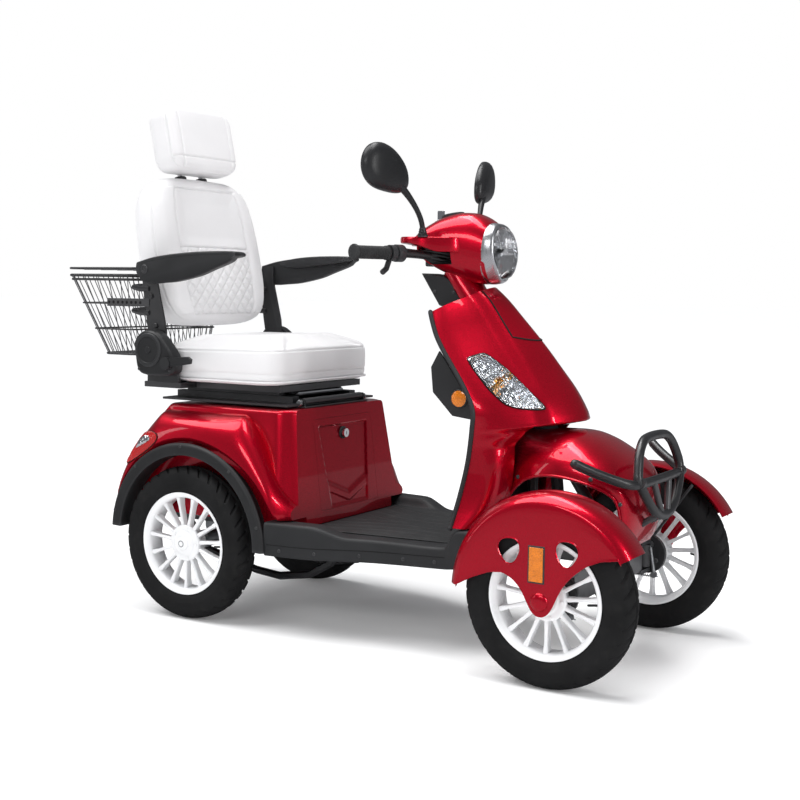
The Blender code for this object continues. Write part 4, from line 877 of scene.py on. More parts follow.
def make_fender(side_name, side):
    body = f"knuckle_{side_name}"
    shell = sheet_piece(f"fender_{side_name}", fender_grid(side), RED, body, 0.003 * side,
        replaces=f"front_fender_{side_name}", angle=30.0)
    for ahead, up, lean in FENDER_HOLES:
        outline = hole_outline(ahead, up, lean, 0.027)
        rings = [[(x, side * depth, z) for x, z in outline] for depth in (0.345, 0.385)]
        cut(shell, *lofted(rings))
        rod(f"fender_{side_name}_rim_{'front' if ahead > 0 else 'rear'}", RED, body,
            [(x, side * FENDER_FACE, z) for x, z in hole_outline(ahead, up, lean, 0.0277)], 0.0024, 8,
            "ring")
    soften(shell, 0.0008)
    discs(f"fender_{side_name}_boss", RED, body, [(FRONT_AXLE.x - 0.004, side * 0.364,
        FRONT_AXLE.z - 0.001)], None, [(0.0215, -0.001), (0.0212, 0.0034), (0.0185, 0.0064),
        (0.012, 0.0086), (0.004, 0.0093)])
    places = [lerp(0.16, -0.19, index / 90) for index in range(91)]
    rod(f"fender_{side_name}_bead", RED, body, [(FRONT_AXLE.x + place, side * FENDER_FACE,
        FRONT_AXLE.z + soft_edge_height(place) + 0.0012) for place in places], 0.0022, 10)
    blocks(f"fender_{side_name}_reflector_frame", PLASTIC, body, [((0.6685, side * 0.365, 0.245),
        (0.7095, side * 0.3688, 0.329))], bevel=0.0016)
    blocks(f"fender_{side_name}_reflector", AMBER_LENS, body, [((0.672, side * 0.366, 0.2485),
        (0.706, side * 0.37, 0.3255))], bevel=0.001)
    stay = Bundle()
    for turn in (math.radians(58.0), math.radians(122.0)):
        foot = (FRONT_AXLE.x + 0.03 * math.cos(turn), side * 0.276, FRONT_AXLE.z + 0.045)
        top = swung(FRONT_AXLE, 0.226, turn, side * 0.272)
        stay.tube(round_path([foot, (lerp(foot[0], top[0], 0.5), side * 0.272, lerp(foot[2], top[2], 0.5)),
            top]), 0.004, 10)
    stay.make(f"fender_{side_name}_stays", STEEL_BLACK, body)


def make_front_brake(side_name, side):
    """Drum, operating arm and return spring on the wheel's inner side."""
    body = f"knuckle_{side_name}"
    hub = (FRONT_AXLE.x, side * 0.272, FRONT_AXLE.z)
    drum = Bundle()
    drum.turned(densify([(0.011, -0.001), (0.044, -0.001), (0.05, 0.002), (0.052, 0.0065), (0.052, 0.0125),
        (0.048, 0.016), (0.011, 0.016)], 3, 0.4), hub, side, 56)
    for index in range(3):
        spot = swung(hub, 0.032, math.radians(90.0 + 120.0 * index), hub[1])
        drum.disc(spot, (0.0, -side, 0.0), [(0.0065, 0.0), (0.0065, 0.004), (0.004, 0.005)], 6)
    drum.make(f"brake_drum_{side_name}", STEEL_BLACK, body, angle=35.0)
    arm = Bundle()
    top = (hub[0] + 0.012, side * 0.266, hub[2] + 0.026)
    foot = (hub[0] + 0.026, side * 0.264, hub[2] - 0.052)
    arm.disc(top, (0.0, side, 0.0), [(0.0095, -0.004), (0.0095, 0.004), (0.007, 0.006)], 20)
    arm.tube(round_path([top, (lerp(top[0], foot[0], 0.5), side * 0.265, lerp(top[2], foot[2], 0.5)),
        foot]), 0.0052, 10)
    arm.disc(foot, (0.0, side, 0.0), [(0.008, -0.005), (0.008, 0.005), (0.006, 0.006)], 16)
    arm.make(f"brake_arm_{side_name}", CAST, body, angle=35.0)
    spring = Bundle()
    coil = []
    turns = 11
    start = Vector((hub[0] - 0.046, side * 0.262, hub[2] - 0.055))
    for index in range(turns * 12 + 1):
        turn = 2.0 * math.pi * index / 12
        coil.append(start + Vector((0.066 * index / (turns * 12), 0.0038 * math.cos(turn),
            0.0038 * math.sin(turn))))
    spring.tube(coil, 0.0009, 6)
    spring.capped_tube([start + Vector((-0.01, 0.0, 0.0)), start + Vector((0.084, 0.0, -0.001))], 0.0016, 8)
    spring.make(f"brake_spring_{side_name}", SILVER, body)


for side_name, side in SIDES:
    make_fender(side_name, side)
    make_front_brake(side_name, side)
    refined(f"knuckle_{side_name}", STEEL_BLACK, 0.0008)
refined("tie_rod", SILVER, 0.0006)


# ---------------------------------------------------------------- Leg shield and nose

LEG_STATIONS = [
    # rider-side edge x, z and half-width; spine x and z; fullness of the section
    (0.283, 0.832, 0.14, 0.378, 0.89, 1.45),
    (0.3, 0.8, 0.155, 0.415, 0.862, 1.35),
    (0.323, 0.76, 0.168, 0.456, 0.818, 1.3),
    (0.374, 0.7, 0.183, 0.518, 0.754, 1.28),
    (0.424, 0.637, 0.196, 0.571, 0.687, 1.32),
    (0.443, 0.6, 0.204, 0.607, 0.643, 1.4),
    (0.44, 0.572, 0.203, 0.634, 0.592, 1.5),
    (0.438, 0.558, 0.202, 0.638, 0.572, 1.6),
    (0.436, 0.54, 0.201, 0.575, 0.556, 2.0),
    (0.432, 0.51, 0.2, 0.522, 0.52, 3.0),
    (0.427, 0.47, 0.201, 0.517, 0.472, 4.0),
    (0.417, 0.42, 0.205, 0.512, 0.42, 4.5),
    (0.408, 0.372, 0.214, 0.502, 0.372, 4.5),
    (0.403, 0.34, 0.225, 0.482, 0.34, 4.5),
    (0.4, 0.317, 0.234, 0.456, 0.317, 4.5),
]
HOOD_END = 7.3
HATCH_END, HATCH_INSET = 2.57, 0.012


def leg_station(level):
    return soft_at(LEG_STATIONS, level, 0.2 if 5.5 < level < 9.5 else 0.55)


def hood_half(level):
    """Half-width of the raised centre panel at a level."""
    return lerp(0.058, 0.112, ease(level, 0.0, 6.8))


def leg_point(y, level):
    """The leg shield's outer surface, with its raised centre panel."""
    x, z, half, spine_x, spine_z, fullness = leg_station(level)
    share = min(abs(y) / half, 1.0)
    ahead = (1.0 - share ** fullness) ** (1.0 / fullness)
    reach = Vector((spine_x - x, 0.0, spine_z - z))
    place = Vector((x, y, z)) + reach * ahead
    raised = ease(hood_half(level) - abs(y), -0.012, 0.01) * ease(HOOD_END - level, 0.0, 0.25)
    hollow = ease(share, 0.995, 0.72) * (1.0 - raised) * ease(HOOD_END - level, 0.0, 0.6)
    out = reach.normalized()
    return place + out * (0.0075 * raised - 0.005 * hollow)


def leg_row(level, columns=72):
    half = leg_station(level)[2]
    row = []
    for index in range(columns + 1):
        turn = math.pi * index / columns
        across = -math.copysign(1.0 - (1.0 - abs(math.cos(turn))) ** 0.82, math.cos(turn))
        row.append(leg_point(across * half, level))
    return row


def lamp_corners(side):
    outline = [(0.161, 2.9), (0.157, 2.82), (0.13, 2.8), (0.124, 2.88), (0.111, 3.6), (0.106, 4.3),
        (0.105, 5.0), (0.102, 5.55), (0.106, 5.66), (0.145, 5.42), (0.164, 5.0), (0.17, 4.1), (0.166, 3.3)]
    return [(side * y, level) for y, level in closed_curve(outline, 4, 0.32)]


def lamp_direction(side):
    """Straight out of a front lamp."""
    return Vector((0.62, side * 0.55, 0.55)).normalized()


def lamp_face(side, shrink, lift):
    """A ring on the leg shield round a front lamp, drawn in and lifted outwards."""
    out = lamp_direction(side)
    return [leg_point(*corner) + out * lift for corner in shrunk(lamp_corners(side), shrink)]


def make_front_lamp(side_name, side):
    glass = [lamp_face(side, share, lift) for share, lift in ((0.985, -0.001), (0.985, 0.0035),
        (0.95, 0.0052), (0.85, 0.0064), (0.65, 0.0072), (0.4, 0.0076), (0.12, 0.0078))]
    loft_piece(f"front_lamp_glass_{side_name}", glass, FLUTED, "chassis",
        replaces=f"turn_signal_{side_name}", angle=50.0)
    bowl = [lamp_face(side, share, lift) for share, lift in ((1.02, 0.0012), (0.96, 0.0012), (0.94, -0.004),
        (0.85, -0.014), (0.6, -0.022), (0.3, -0.025), (0.1, -0.026))]
    points, faces = lofted(bowl)
    piece(f"front_lamp_bowl_{side_name}", points, faces[:-2], FACETS, "chassis", angle=50.0)
    corners = lamp_corners(side)
    for part, (share, material) in {"amber": (0.36, AMBER_BULB), "clear": (0.7, GLASS)}.items():
        level = lerp(2.8, 5.5, share)
        y = sum(corner[0] for corner in corners) / len(corners)
        out = lamp_direction(side)
        discs(f"front_lamp_{part}_{side_name}", material, "chassis", [leg_point(y, level) - out * 0.02],
            out, [(0.008, 0.0), (0.0095, 0.006), (0.0085, 0.012), (0.005, 0.016), (0.0015, 0.0175)], 20)
    rod(f"front_lamp_rim_{side_name}", GAP, "chassis", lamp_face(side, 1.005, 0.0012), 0.0016, 6, "ring")


def make_leg_shield():
    levels = [14.0 * index / 168 for index in range(169)]
    grid = [leg_row(level) for level in levels]
    shell = sheet_piece("leg_shield_shell", grid, RED, "chassis", -0.0035, replaces="leg_shield",
        angle=32.0)
    scooped(shell, (0.25, -0.13, 0.19), (0.75, 0.13, 0.564))
    for side_name, side in SIDES:
        cut(shell, *lofted([lamp_face(side, 1.0, lift) for lift in (-0.03, 0.03)]))
        make_front_lamp(side_name, side)
        edge = [leg_point(side * leg_station(level)[2], level) + Vector((-0.0035, 0.0, -0.0015))
            for level in (14.0 * index / 84 for index in range(85))]
        rod(f"leg_edge_trim_{side_name}", PLASTIC, "chassis", edge, 0.0062, 12)
    soften(shell, 0.0009)
    levels = [0.05 + 0.12 * step for step in range(22)]
    last = hood_half(HATCH_END) - HATCH_INSET
    path = [leg_point(RIGHT * (hood_half(level) - HATCH_INSET), level) for level in levels]
    path += [leg_point(lerp(-last, last, step / 16), HATCH_END + 0.3 * math.sin(math.pi * step / 16))
        for step in range(1, 16)]
    path += [leg_point(LEFT * (hood_half(level) - HATCH_INSET), level) for level in reversed(levels)]
    lift = Vector((0.62, 0.0, 0.55)).normalized() * 0.0002
    rod("hood_hatch_seam", GAP, "chassis", [point + lift for point in path], 0.0021, 6, "plain")


NOSE_STATIONS = [
    # edge x, z and half-width; spine x and z
    (0.474, 0.32, 0.1285, 0.492, 0.546), (0.492, 0.375, 0.1285, 0.512, 0.548),
    (0.518, 0.418, 0.1285, 0.545, 0.55), (0.56, 0.443, 0.14, 0.6, 0.551),
    (0.61, 0.452, 0.152, 0.642, 0.5515), (0.655, 0.451, 0.157, 0.676, 0.544),
    (0.7, 0.443, 0.156, 0.722, 0.522), (0.738, 0.431, 0.148, 0.77, 0.491),
    (0.762, 0.418, 0.137, 0.797, 0.462), (0.775, 0.402, 0.126, 0.81, 0.428),
    (0.781, 0.37, 0.119, 0.812, 0.385), (0.783, 0.335, 0.116, 0.808, 0.34),
    (0.782, 0.305, 0.11, 0.8, 0.305), (0.776, 0.287, 0.098, 0.789, 0.285),
]


def nose_point(level, turn):
    x, z, half, spine_x, spine_z = soft_at(NOSE_STATIONS, level, 0.6)
    power = 2.0 / 2.3
    across = -math.copysign(abs(math.cos(turn)) ** power, math.cos(turn))
    ahead = math.sin(turn) ** power
    return Vector((lerp(x, spine_x, ahead), across * half, lerp(z, spine_z, ahead)))


def steer_place(distance):
    return Vector((0.27, 0.0, 0.95)) - STEER_AXIS * distance


STEER_AXIS = Vector((-0.551937, 0.0, 0.833886))


def make_nose():
    count = 104
    grid = [[nose_point(13.0 * row / count, math.pi * column / 48) for column in range(49)]
        for row in range(count + 1)]
    shell = sheet_piece("nose_shell", grid, RED, "chassis", -0.0035, replaces="front_nose", angle=35.0)
    drilled(shell, steer_place(0.7), STEER_AXIS, 0.032, 0.4)
    soften(shell, 0.0009)
    for side_name, side in SIDES:
        turn = 0.012 if side < 0 else math.pi - 0.012
        rod(f"nose_bead_{side_name}", RED, "chassis", [nose_point(0.3 + 12.4 * index / 90, turn)
            for index in range(91)], 0.0035, 12)
        turn = 0.16 if side < 0 else math.pi - 0.16
        discs(f"nose_screws_{side_name}", STEEL_BLACK, "chassis",
            [nose_point(level, turn) for level in (1.9, 6.4, 9.3)], (0.2, side, 0.15),
            [(0.0052, -0.001), (0.0052, 0.0012), (0.0036, 0.0026)], 14)


def make_guard_bar():
    loop = [(0.833, -0.143, 0.46), (0.824, -0.118, 0.512), (0.82, -0.09, 0.538), (0.817, -0.057, 0.549),
        (0.817, 0.057, 0.549), (0.82, 0.09, 0.538), (0.824, 0.118, 0.512), (0.833, 0.143, 0.46),
        (0.842, 0.1, 0.405), (0.847, 0.042, 0.362), (0.847, -0.042, 0.362), (0.842, -0.1, 0.405)]
    arms = [(0.722, -0.243, 0.499), (0.752, -0.221, 0.481), (0.808, -0.182, 0.456), (0.827, -0.158, 0.449),
        (0.834, -0.125, 0.447), (0.834, 0.125, 0.447), (0.827, 0.158, 0.449), (0.808, 0.182, 0.456),
        (0.752, 0.221, 0.481), (0.722, 0.243, 0.499)]
    bar = Bundle()
    bar.tube(round_path(loop + [loop[0]], 7)[:-1], 0.0113, 18, closed=True)
    bar.capped_tube(round_path(arms, 7), 0.0113, 18)
    for side in (RIGHT, LEFT):
        bar.tube([at_side(side, 0.836, 0.05, 0.447), at_side(side, 0.846, 0.018, 0.366)], 0.008, 12)
        bar.tube([at_side(side, 0.79, 0.03, 0.33), at_side(side, 0.842, 0.03, 0.366)], 0.008, 12)
    bar.make("guard_bar", STEEL_BLACK, "chassis", replaces="bull_bar", angle=50.0)
    for side_name, side in SIDES:
        discs(f"guard_weld_{side_name}", STEEL_BLACK, "chassis", [at_side(side, 0.836, 0.134, 0.452)],
            (0.1, side, 0.0), [(0.0125, -0.008), (0.014, -0.003), (0.014, 0.003), (0.0125, 0.008)], 24)


make_leg_shield()
make_nose()
make_guard_bar()


# ---------------------------------------------------------------- Rear body

DECK_Z = 0.57
ARCH_CENTRE = (REAR_AXLE.x + 0.01, REAR_AXLE.z + 0.009)
ARCH_EDGE_RADIUS = 0.2645
FACE_TOP_X = -0.08
LOCK_Z = 0.495
CREASE_TOP, ARCH_Y = 0.553, 0.31
DOOR_HALF, DOOR_LOW, DOOR_HIGH, DOOR_CORNER = 0.138, 0.3, 0.54, 0.01


def arch_edge(x):
    reach = ARCH_EDGE_RADIUS ** 2 - (x - ARCH_CENTRE[0]) ** 2
    return ARCH_CENTRE[1] + math.sqrt(max(reach, 0.0))


def body_half_ring(x):
    """Half of the body's section, from the wheel-side floor edge up to the middle of the deck."""
    rear = min(max((-x - 0.485) / 0.13, 0.0), 1.0)
    deck = DECK_Z - 0.12 * rear - 0.105 * (1.0 - math.sqrt(1.0 - rear * rear))
    edge = max(arch_edge(x), 0.294) if x > REAR_AXLE.x - 0.26 else arch_edge(REAR_AXLE.x - 0.255)
    edge = min(edge, deck - 0.03)
    crease_z = lerp(0.318, CREASE_TOP, ease(x, -0.06, -0.225)) if x > -0.225 else CREASE_TOP
    crease_z = min(crease_z, deck - 0.017)
    crease_z = max(crease_z, edge + 0.022)
    crease_y = lerp(0.238, 0.268, ease(crease_z, CREASE_TOP, 0.33))
    shoulder_y = lerp(0.236, 0.25, rear)
    narrow = 1.0 - 0.12 * ease(x, -0.125, -0.075)
    pairs = [(0.232, 0.268), (0.235, edge), (0.303, edge), (ARCH_Y, edge + 0.01)]
    for step in range(1, 9):
        turn = math.radians(90.0 * (step / 9) ** 0.9)
        pairs.append((crease_y + (ARCH_Y - crease_y) * math.cos(turn),
            lerp(edge + 0.01, crease_z, math.sin(turn))))
    pairs.append((crease_y, crease_z))
    top_y = min(shoulder_y, crease_y - 0.001)
    for step in range(1, 5):
        pairs.append((lerp(crease_y, top_y, step / 4), lerp(crease_z, deck - 0.011, step / 4)))
    for step in range(1, 5):
        turn = math.radians(90.0 * step / 4)
        pairs.append((top_y - 0.014 * (1.0 - math.cos(turn)), deck - 0.011 + 0.011 * math.sin(turn)))
    pairs.append((0.12, deck))
    pairs.append((0.0, deck))
    return [(y * narrow, z) for y, z in pairs]


def face_x(x, z):
    return x + 0.12 * (DECK_Z - z) * ease(x, -0.33, -0.12)


def body_ring(x):
    half = body_half_ring(x)
    ring = [Vector((face_x(x, z), -y, z)) for y, z in half]
    ring += [Vector((face_x(x, z), y, z)) for y, z in reversed(half[:-1])]
    return ring


def body_side_y(x, z):
    half = body_half_ring(x)[3:]
    for (y0, z0), (y1, z1) in zip(half, half[1:]):
        if z0 <= z <= z1:
            return lerp(y0, y1, (z - z0) / max(z1 - z0, 1e-6))
    return half[0][0]


def spaced(stops, step):
    places = []
    for start, end in zip(stops, stops[1:]):
        count = max(int(round(abs(end - start) / step)), 1)
        places += [lerp(start, end, index / count) for index in range(count)]
    return places + [stops[-1]]


def make_rear_body():
    places = spaced([-0.612, -0.606, -0.59, -0.488, -0.13, -0.092, FACE_TOP_X], 0.0075)
    rings = [body_ring(x) for x in places]
    columns = len(rings[0])
    points = [point for ring in rings for point in ring]
    faces = grid_faces(len(rings), columns)
    faces.append(tuple(range(columns)))
    faces.append(tuple(range((len(rings) - 1) * columns, len(rings) * columns)))
    shell = piece("rear_body_shell", points, faces, RED, "chassis", replaces="rear_body", angle=24.0)
    wall = shell.modifiers.new("wall", "SOLIDIFY")
    wall.thickness = 0.0035
    wall.offset = -1.0
    baked(shell)
    cut(shell, *lofted(door_rings(0.0006, -0.03, 0.03)))
    soften(shell, 0.0012, 3, 30.0)


def door_rings(grow, front, back):
    half, low, high, corner = DOOR_HALF + grow, DOOR_LOW - grow, DOOR_HIGH + grow, DOOR_CORNER
    outline = [(-half, low), (half, low), (half, high - corner), (half - 0.3 * corner, high - 0.3 * corner),
        (half - corner, high), (-half + corner, high), (-half + 0.3 * corner, high - 0.3 * corner),
        (-half, high - corner)]
    return [[(face_x(FACE_TOP_X, z) - depth, y, z) for y, z in outline] for depth in (front, back)]


def door_relief(y, z):
    """How far the door's face is pressed in: a tapering field over a chevron."""
    reach = abs(y)
    edge = lerp(0.088, 0.117, (z - 0.3) / 0.222)
    tip = 0.33 + 0.04 * min(reach / 0.107, 1.0)
    inside = ease(edge - reach, 0.0, 0.006) * ease(0.522 - z, 0.0, 0.006)
    upper = ease(z - tip, 0.0, 0.012)
    band = ease(z - tip, -0.022, -0.016) * (1.0 - upper)
    lower = ease(z, 0.303, 0.309)
    return inside * (0.005 * upper + 0.0012 * band + 0.0028 * lower * (1.0 - upper) * (1.0 - band))


def make_battery_door():
    columns, rows = 92, 80
    front, back = [], []
    for row in range(rows + 1):
        z = lerp(DOOR_LOW, DOOR_HIGH, row / rows)
        for column in range(columns + 1):
            y, z_here = lerp(-DOOR_HALF, DOOR_HALF, column / columns), z
            inset = max(abs(y) - 0.128, 0.0)
            drop = max(z - 0.53, 0.0)
            if inset > 0.0 and drop > 0.0 and math.hypot(inset, drop) > DOOR_CORNER:
                scale = DOOR_CORNER / math.hypot(inset, drop)
                y = math.copysign(0.128 + inset * scale, y)
                z_here = 0.53 + drop * scale
            face = face_x(FACE_TOP_X, z_here)
            front.append((face - door_relief(y, z_here), y, z_here))
            back.append((face - 0.0065, y, z_here))
    width = columns + 1
    count = len(front)
    faces = grid_faces(rows + 1, width)
    faces += [tuple(index + count for index in reversed(face)) for face in grid_faces(rows + 1, width)]
    loop = list(range(width)) + [row * width + columns for row in range(1, rows + 1)]
    loop += [rows * width + column for column in reversed(range(columns))]
    loop += [row * width for row in reversed(range(1, rows))]
    for first, second in zip(loop, loop[1:] + loop[:1]):
        faces.append((first, second, second + count, first + count))
    door = piece("battery_door_panel", front + back, faces, RED, "battery_door", replaces="battery_door",
        angle=40.0)
    face = face_x(FACE_TOP_X, LOCK_Z)
    drilled(door, (face - 0.04, 0.0, LOCK_Z), AHEAD, 0.0127, 0.08)
    discs("door_lock_collar", PLASTIC, "battery_door", [(face - 0.004, 0.0, LOCK_Z)], AHEAD,
        [(0.0172, 0.0), (0.0172, 0.0025), (0.0155, 0.004), (0.0126, 0.004), (0.0126, 0.0)], 40)
    refined("door_lock", CHROME, 0.0006)
    blocks("door_lock_slot", GAP, "door_lock", [((face + 0.0088, -0.0008, 0.4905),
        (face + 0.0094, 0.0008, 0.4995))])


def arch_sweep(profile, first, last, steps, side):
    turns = [math.radians(lerp(first, last, index / steps)) for index in range(steps + 1)]
    return [[swung(ARCH_CENTRE, radius, turn, side * depth) for radius, depth in profile] for turn in turns]


def make_arch_trim(side_name, side):
    profile = densify([(0.2345, 0.265), (0.235, 0.312), (0.26, 0.3125), (0.2615, 0.314), (0.2615, 0.318),
        (0.256, 0.3245), (0.248, 0.3252), (0.229, 0.3225), (0.228, 0.32), (0.228, 0.265)], 2, 0.35)
    name = f"arch_trim_{side_name}"
    loft_piece(name + "_band", arch_sweep(profile, -1.0, 176.0, 96, side), PLASTIC, "chassis",
        replaces=name, angle=35.0)
    discs(name + "_screws", STEEL_BLACK, "chassis", [swung(ARCH_CENTRE, 0.252, math.radians(angle),
        side * 0.3248) for angle in (14.0, 52.0, 92.0, 132.0, 166.0)], None,
        [(0.0042, 0.0), (0.0042, 0.0008), (0.0028, 0.0016)], 16)


TAIL_LAMP = [(-0.594, 0.404), (-0.57, 0.402), (-0.475, 0.462), (-0.462, 0.49), (-0.505, 0.5),
    (-0.548, 0.476), (-0.586, 0.43)]


def tail_ring(side, outline, shrink, lift):
    out = Vector((-0.45, side * 0.75, 0.45)).normalized()
    return [Vector((x, side * body_side_y(x, z), z)) + out * lift for x, z in shrunk(outline, shrink)]


def make_tail_light(side_name, side):
    outline = closed_curve(TAIL_LAMP, 6, 0.4)
    rings = [tail_ring(side, outline, share, lift) for share, lift in ((0.99, -0.004), (0.99, 0.003),
        (0.95, 0.0048), (0.8, 0.0058), (0.5, 0.0064), (0.15, 0.0066))]
    loft_piece(f"tail_lamp_{side_name}", rings, RED_LENS, "chassis", replaces=f"tail_light_{side_name}",
        angle=50.0)
    pane = closed_curve([(-0.552, 0.434), (-0.48, 0.468), (-0.474, 0.486), (-0.506, 0.492),
        (-0.543, 0.468)], 6, 0.35)
    rings = [tail_ring(side, pane, share, lift) for share, lift in ((0.66, 0.004), (0.66, 0.0078),
        (0.6, 0.009), (0.34, 0.0096), (0.08, 0.0098))]
    loft_piece(f"tail_reverse_{side_name}", rings, FACETS, "chassis", angle=50.0)
    rod(f"tail_rim_{side_name}", GAP, "chassis", tail_ring(side, outline, 1.0, 0.0012), 0.0014, 6, "ring")


make_rear_body()
make_battery_door()
for side_name, side in SIDES:
    make_arch_trim(side_name, side)
    make_tail_light(side_name, side)


# ---------------------------------------------------------------- Floor, inner panel and frame

FLOOR_Z = 0.265
FLOOR_STATIONS = [
    # x, half-width, top, skirt's lower edge
    (-0.106, 0.311, FLOOR_Z, 0.203), (-0.03, 0.304, FLOOR_Z, 0.203),
    (0.03, 0.298, FLOOR_Z, 0.204), (0.08, 0.281, FLOOR_Z, 0.205),
    (0.15, 0.254, FLOOR_Z, 0.206), (0.22, 0.242, FLOOR_Z, 0.208),
    (0.375, 0.236, FLOOR_Z, 0.213), (0.388, 0.236, FLOOR_Z + 0.008, 0.214),
    (0.404, 0.236, 0.3135, 0.216), (0.444, 0.235, 0.3135, 0.226),
]


def floor_row(place):
    x, half, top, low = soft_at(FLOOR_STATIONS, place, 0.45)
    raised = 0.025 * (1.0 - ease(x, 0.02, 0.12))
    rim = 0.01
    sides = [(half - 0.004, low), (half, low + 0.004), (half, top + raised - rim)]
    for step in range(1, 5):
        turn = math.radians(90.0 * step / 5)
        sides.append((half - rim * (1.0 - math.cos(turn)), top + raised - rim + rim * math.sin(turn)))
    sides += [(half - rim, top + raised), (0.845 * half, top + raised)]
    sides += [(lerp(0.845, 0.768, share) * half, top + raised * (1.0 - ease(share, 0.0, 1.0)))
        for share in (0.25, 0.5, 0.75)]
    sides += [(0.768 * half, top), (0.4 * half, top)]
    return ([Vector((x, -y, z)) for y, z in sides] + [Vector((x, 0.0, top))]
        + [Vector((x, y, z)) for y, z in reversed(sides)])


def make_floor():
    rows = [floor_row(9.0 * index / 72) for index in range(73)]
    pan = sheet_piece("floor_pan_shell", rows, FLOOR_PLASTIC, "chassis", -0.004, replaces="floor_pan",
        angle=40.0)
    soften(pan, 0.0008)
    spots = []
    for side in (RIGHT, LEFT):
        for place in (0.6, 2.2, 4.0, 5.3, 6.0):
            x, half, _, low = soft_at(FLOOR_STATIONS, place, 0.45)
            spots.append(at_side(side, x, half - 0.0004, low + 0.017))
    discs("floor_screws", STEEL_BLACK, "chassis", spots, None, [(0.0048, 0.0), (0.0048, 0.001),
        (0.003, 0.0022)], 16)
    groove = Bundle()
    for side in (RIGHT, LEFT):
        path = []
        for index in range(40):
            x, half, _, low = soft_at(FLOOR_STATIONS, lerp(0.1, 6.6, index / 39), 0.45)
            path.append(at_side(side, x, half - 0.0002, low + 0.03))
        groove.tube(path, 0.0011, 6)
    groove.make("floor_skirt_groove", GAP, "chassis")
    mat_rows = []
    for index in range(101):
        x = lerp(-0.036, 0.366, index / 100)
        half = soft_at([(-0.036, 0.215), (0.06, 0.205), (0.12, 0.188), (0.366, 0.176)], 3.0 * index / 100,
            0.5)[1]
        row = []
        for column in range(113):
            share = lerp(-1.0, 1.0, column / 112)
            bow = abs(share) * 0.176
            wave = math.sin((bow + 0.055 * math.sin(6.5 * (x + 0.05))) / 0.0195 * math.pi)
            field = ease(1.0 - abs(share), 0.05, 0.1) * ease(min(x + 0.036, 0.366 - x), 0.01, 0.018)
            row.append(Vector((x, share * half, FLOOR_Z + 0.0036 + 0.0013 * field * ease(wave, 0.4, 0.8))))
        mat_rows.append(row)
    sheet_piece("floor_mat_sheet", mat_rows, RUBBER, "chassis", -0.0034, replaces="floor_mat", angle=50.0)


def make_inner_panel():
    refined("leg_shield_inner", FLOOR_PLASTIC, 0.004, 3, 25.0, "leg_panel")
    ribs = Bundle()
    for side in (RIGHT, LEFT):
        path = [at_side(side, x - 0.0035, y, z) for x, y, z in ((0.292, 0.11, 0.802), (0.338, 0.135, 0.73),
            (0.408, 0.16, 0.636), (0.426, 0.164, 0.56), (0.418, 0.168, 0.48), (0.406, 0.178, 0.4),
            (0.4, 0.19, 0.345))]
        ribs.capped_tube(round_path(path, 8), 0.0032, 10)
        for x, y, z in ((0.31, 0.132, 0.786), (0.428, 0.182, 0.52), (0.402, 0.205, 0.36)):
            ribs.disc(at_side(side, x - 0.002, y, z), (-1.0, 0.0, 0.2), [(0.0056, -0.002), (0.0056, 0.0015),
                (0.0036, 0.003)], 16)
    ribs.make("leg_panel_ribs", PLASTIC, "chassis")
    refined("glove_box", PLASTIC, 0.0024, 3, 30.0, "glove_bin")
    for side_name, side in SIDES:
        discs(f"bin_reflector_frame_{side_name}", PLASTIC, "chassis", [at_side(side, 0.372, 0.152, 0.622)],
            None, [(0.0235, -0.001), (0.0235, 0.003), (0.0215, 0.0052), (0.02, 0.0052)], 40)
        discs(f"bin_reflector_{side_name}", AMBER_LENS, "chassis", [at_side(side, 0.372, 0.154, 0.622)],
            None, [(0.02, 0.0), (0.02, 0.0032), (0.016, 0.0048), (0.008, 0.0056), (0.002, 0.0058)], 40)


def coil(bundle, foot, top, radius, thick, turns):
    foot, top = Vector(foot), Vector(top)
    axis = (top - foot).normalized()
    across = axis.orthogonal().normalized()
    other = axis.cross(across)
    count = int(turns * 18)
    path = []
    for index in range(count + 1):
        turn = 2.0 * math.pi * turns * index / count
        path.append(foot.lerp(top, index / count) + (across * math.cos(turn) + other * math.sin(turn))
            * radius)
    bundle.capped_tube(path, thick, 8)


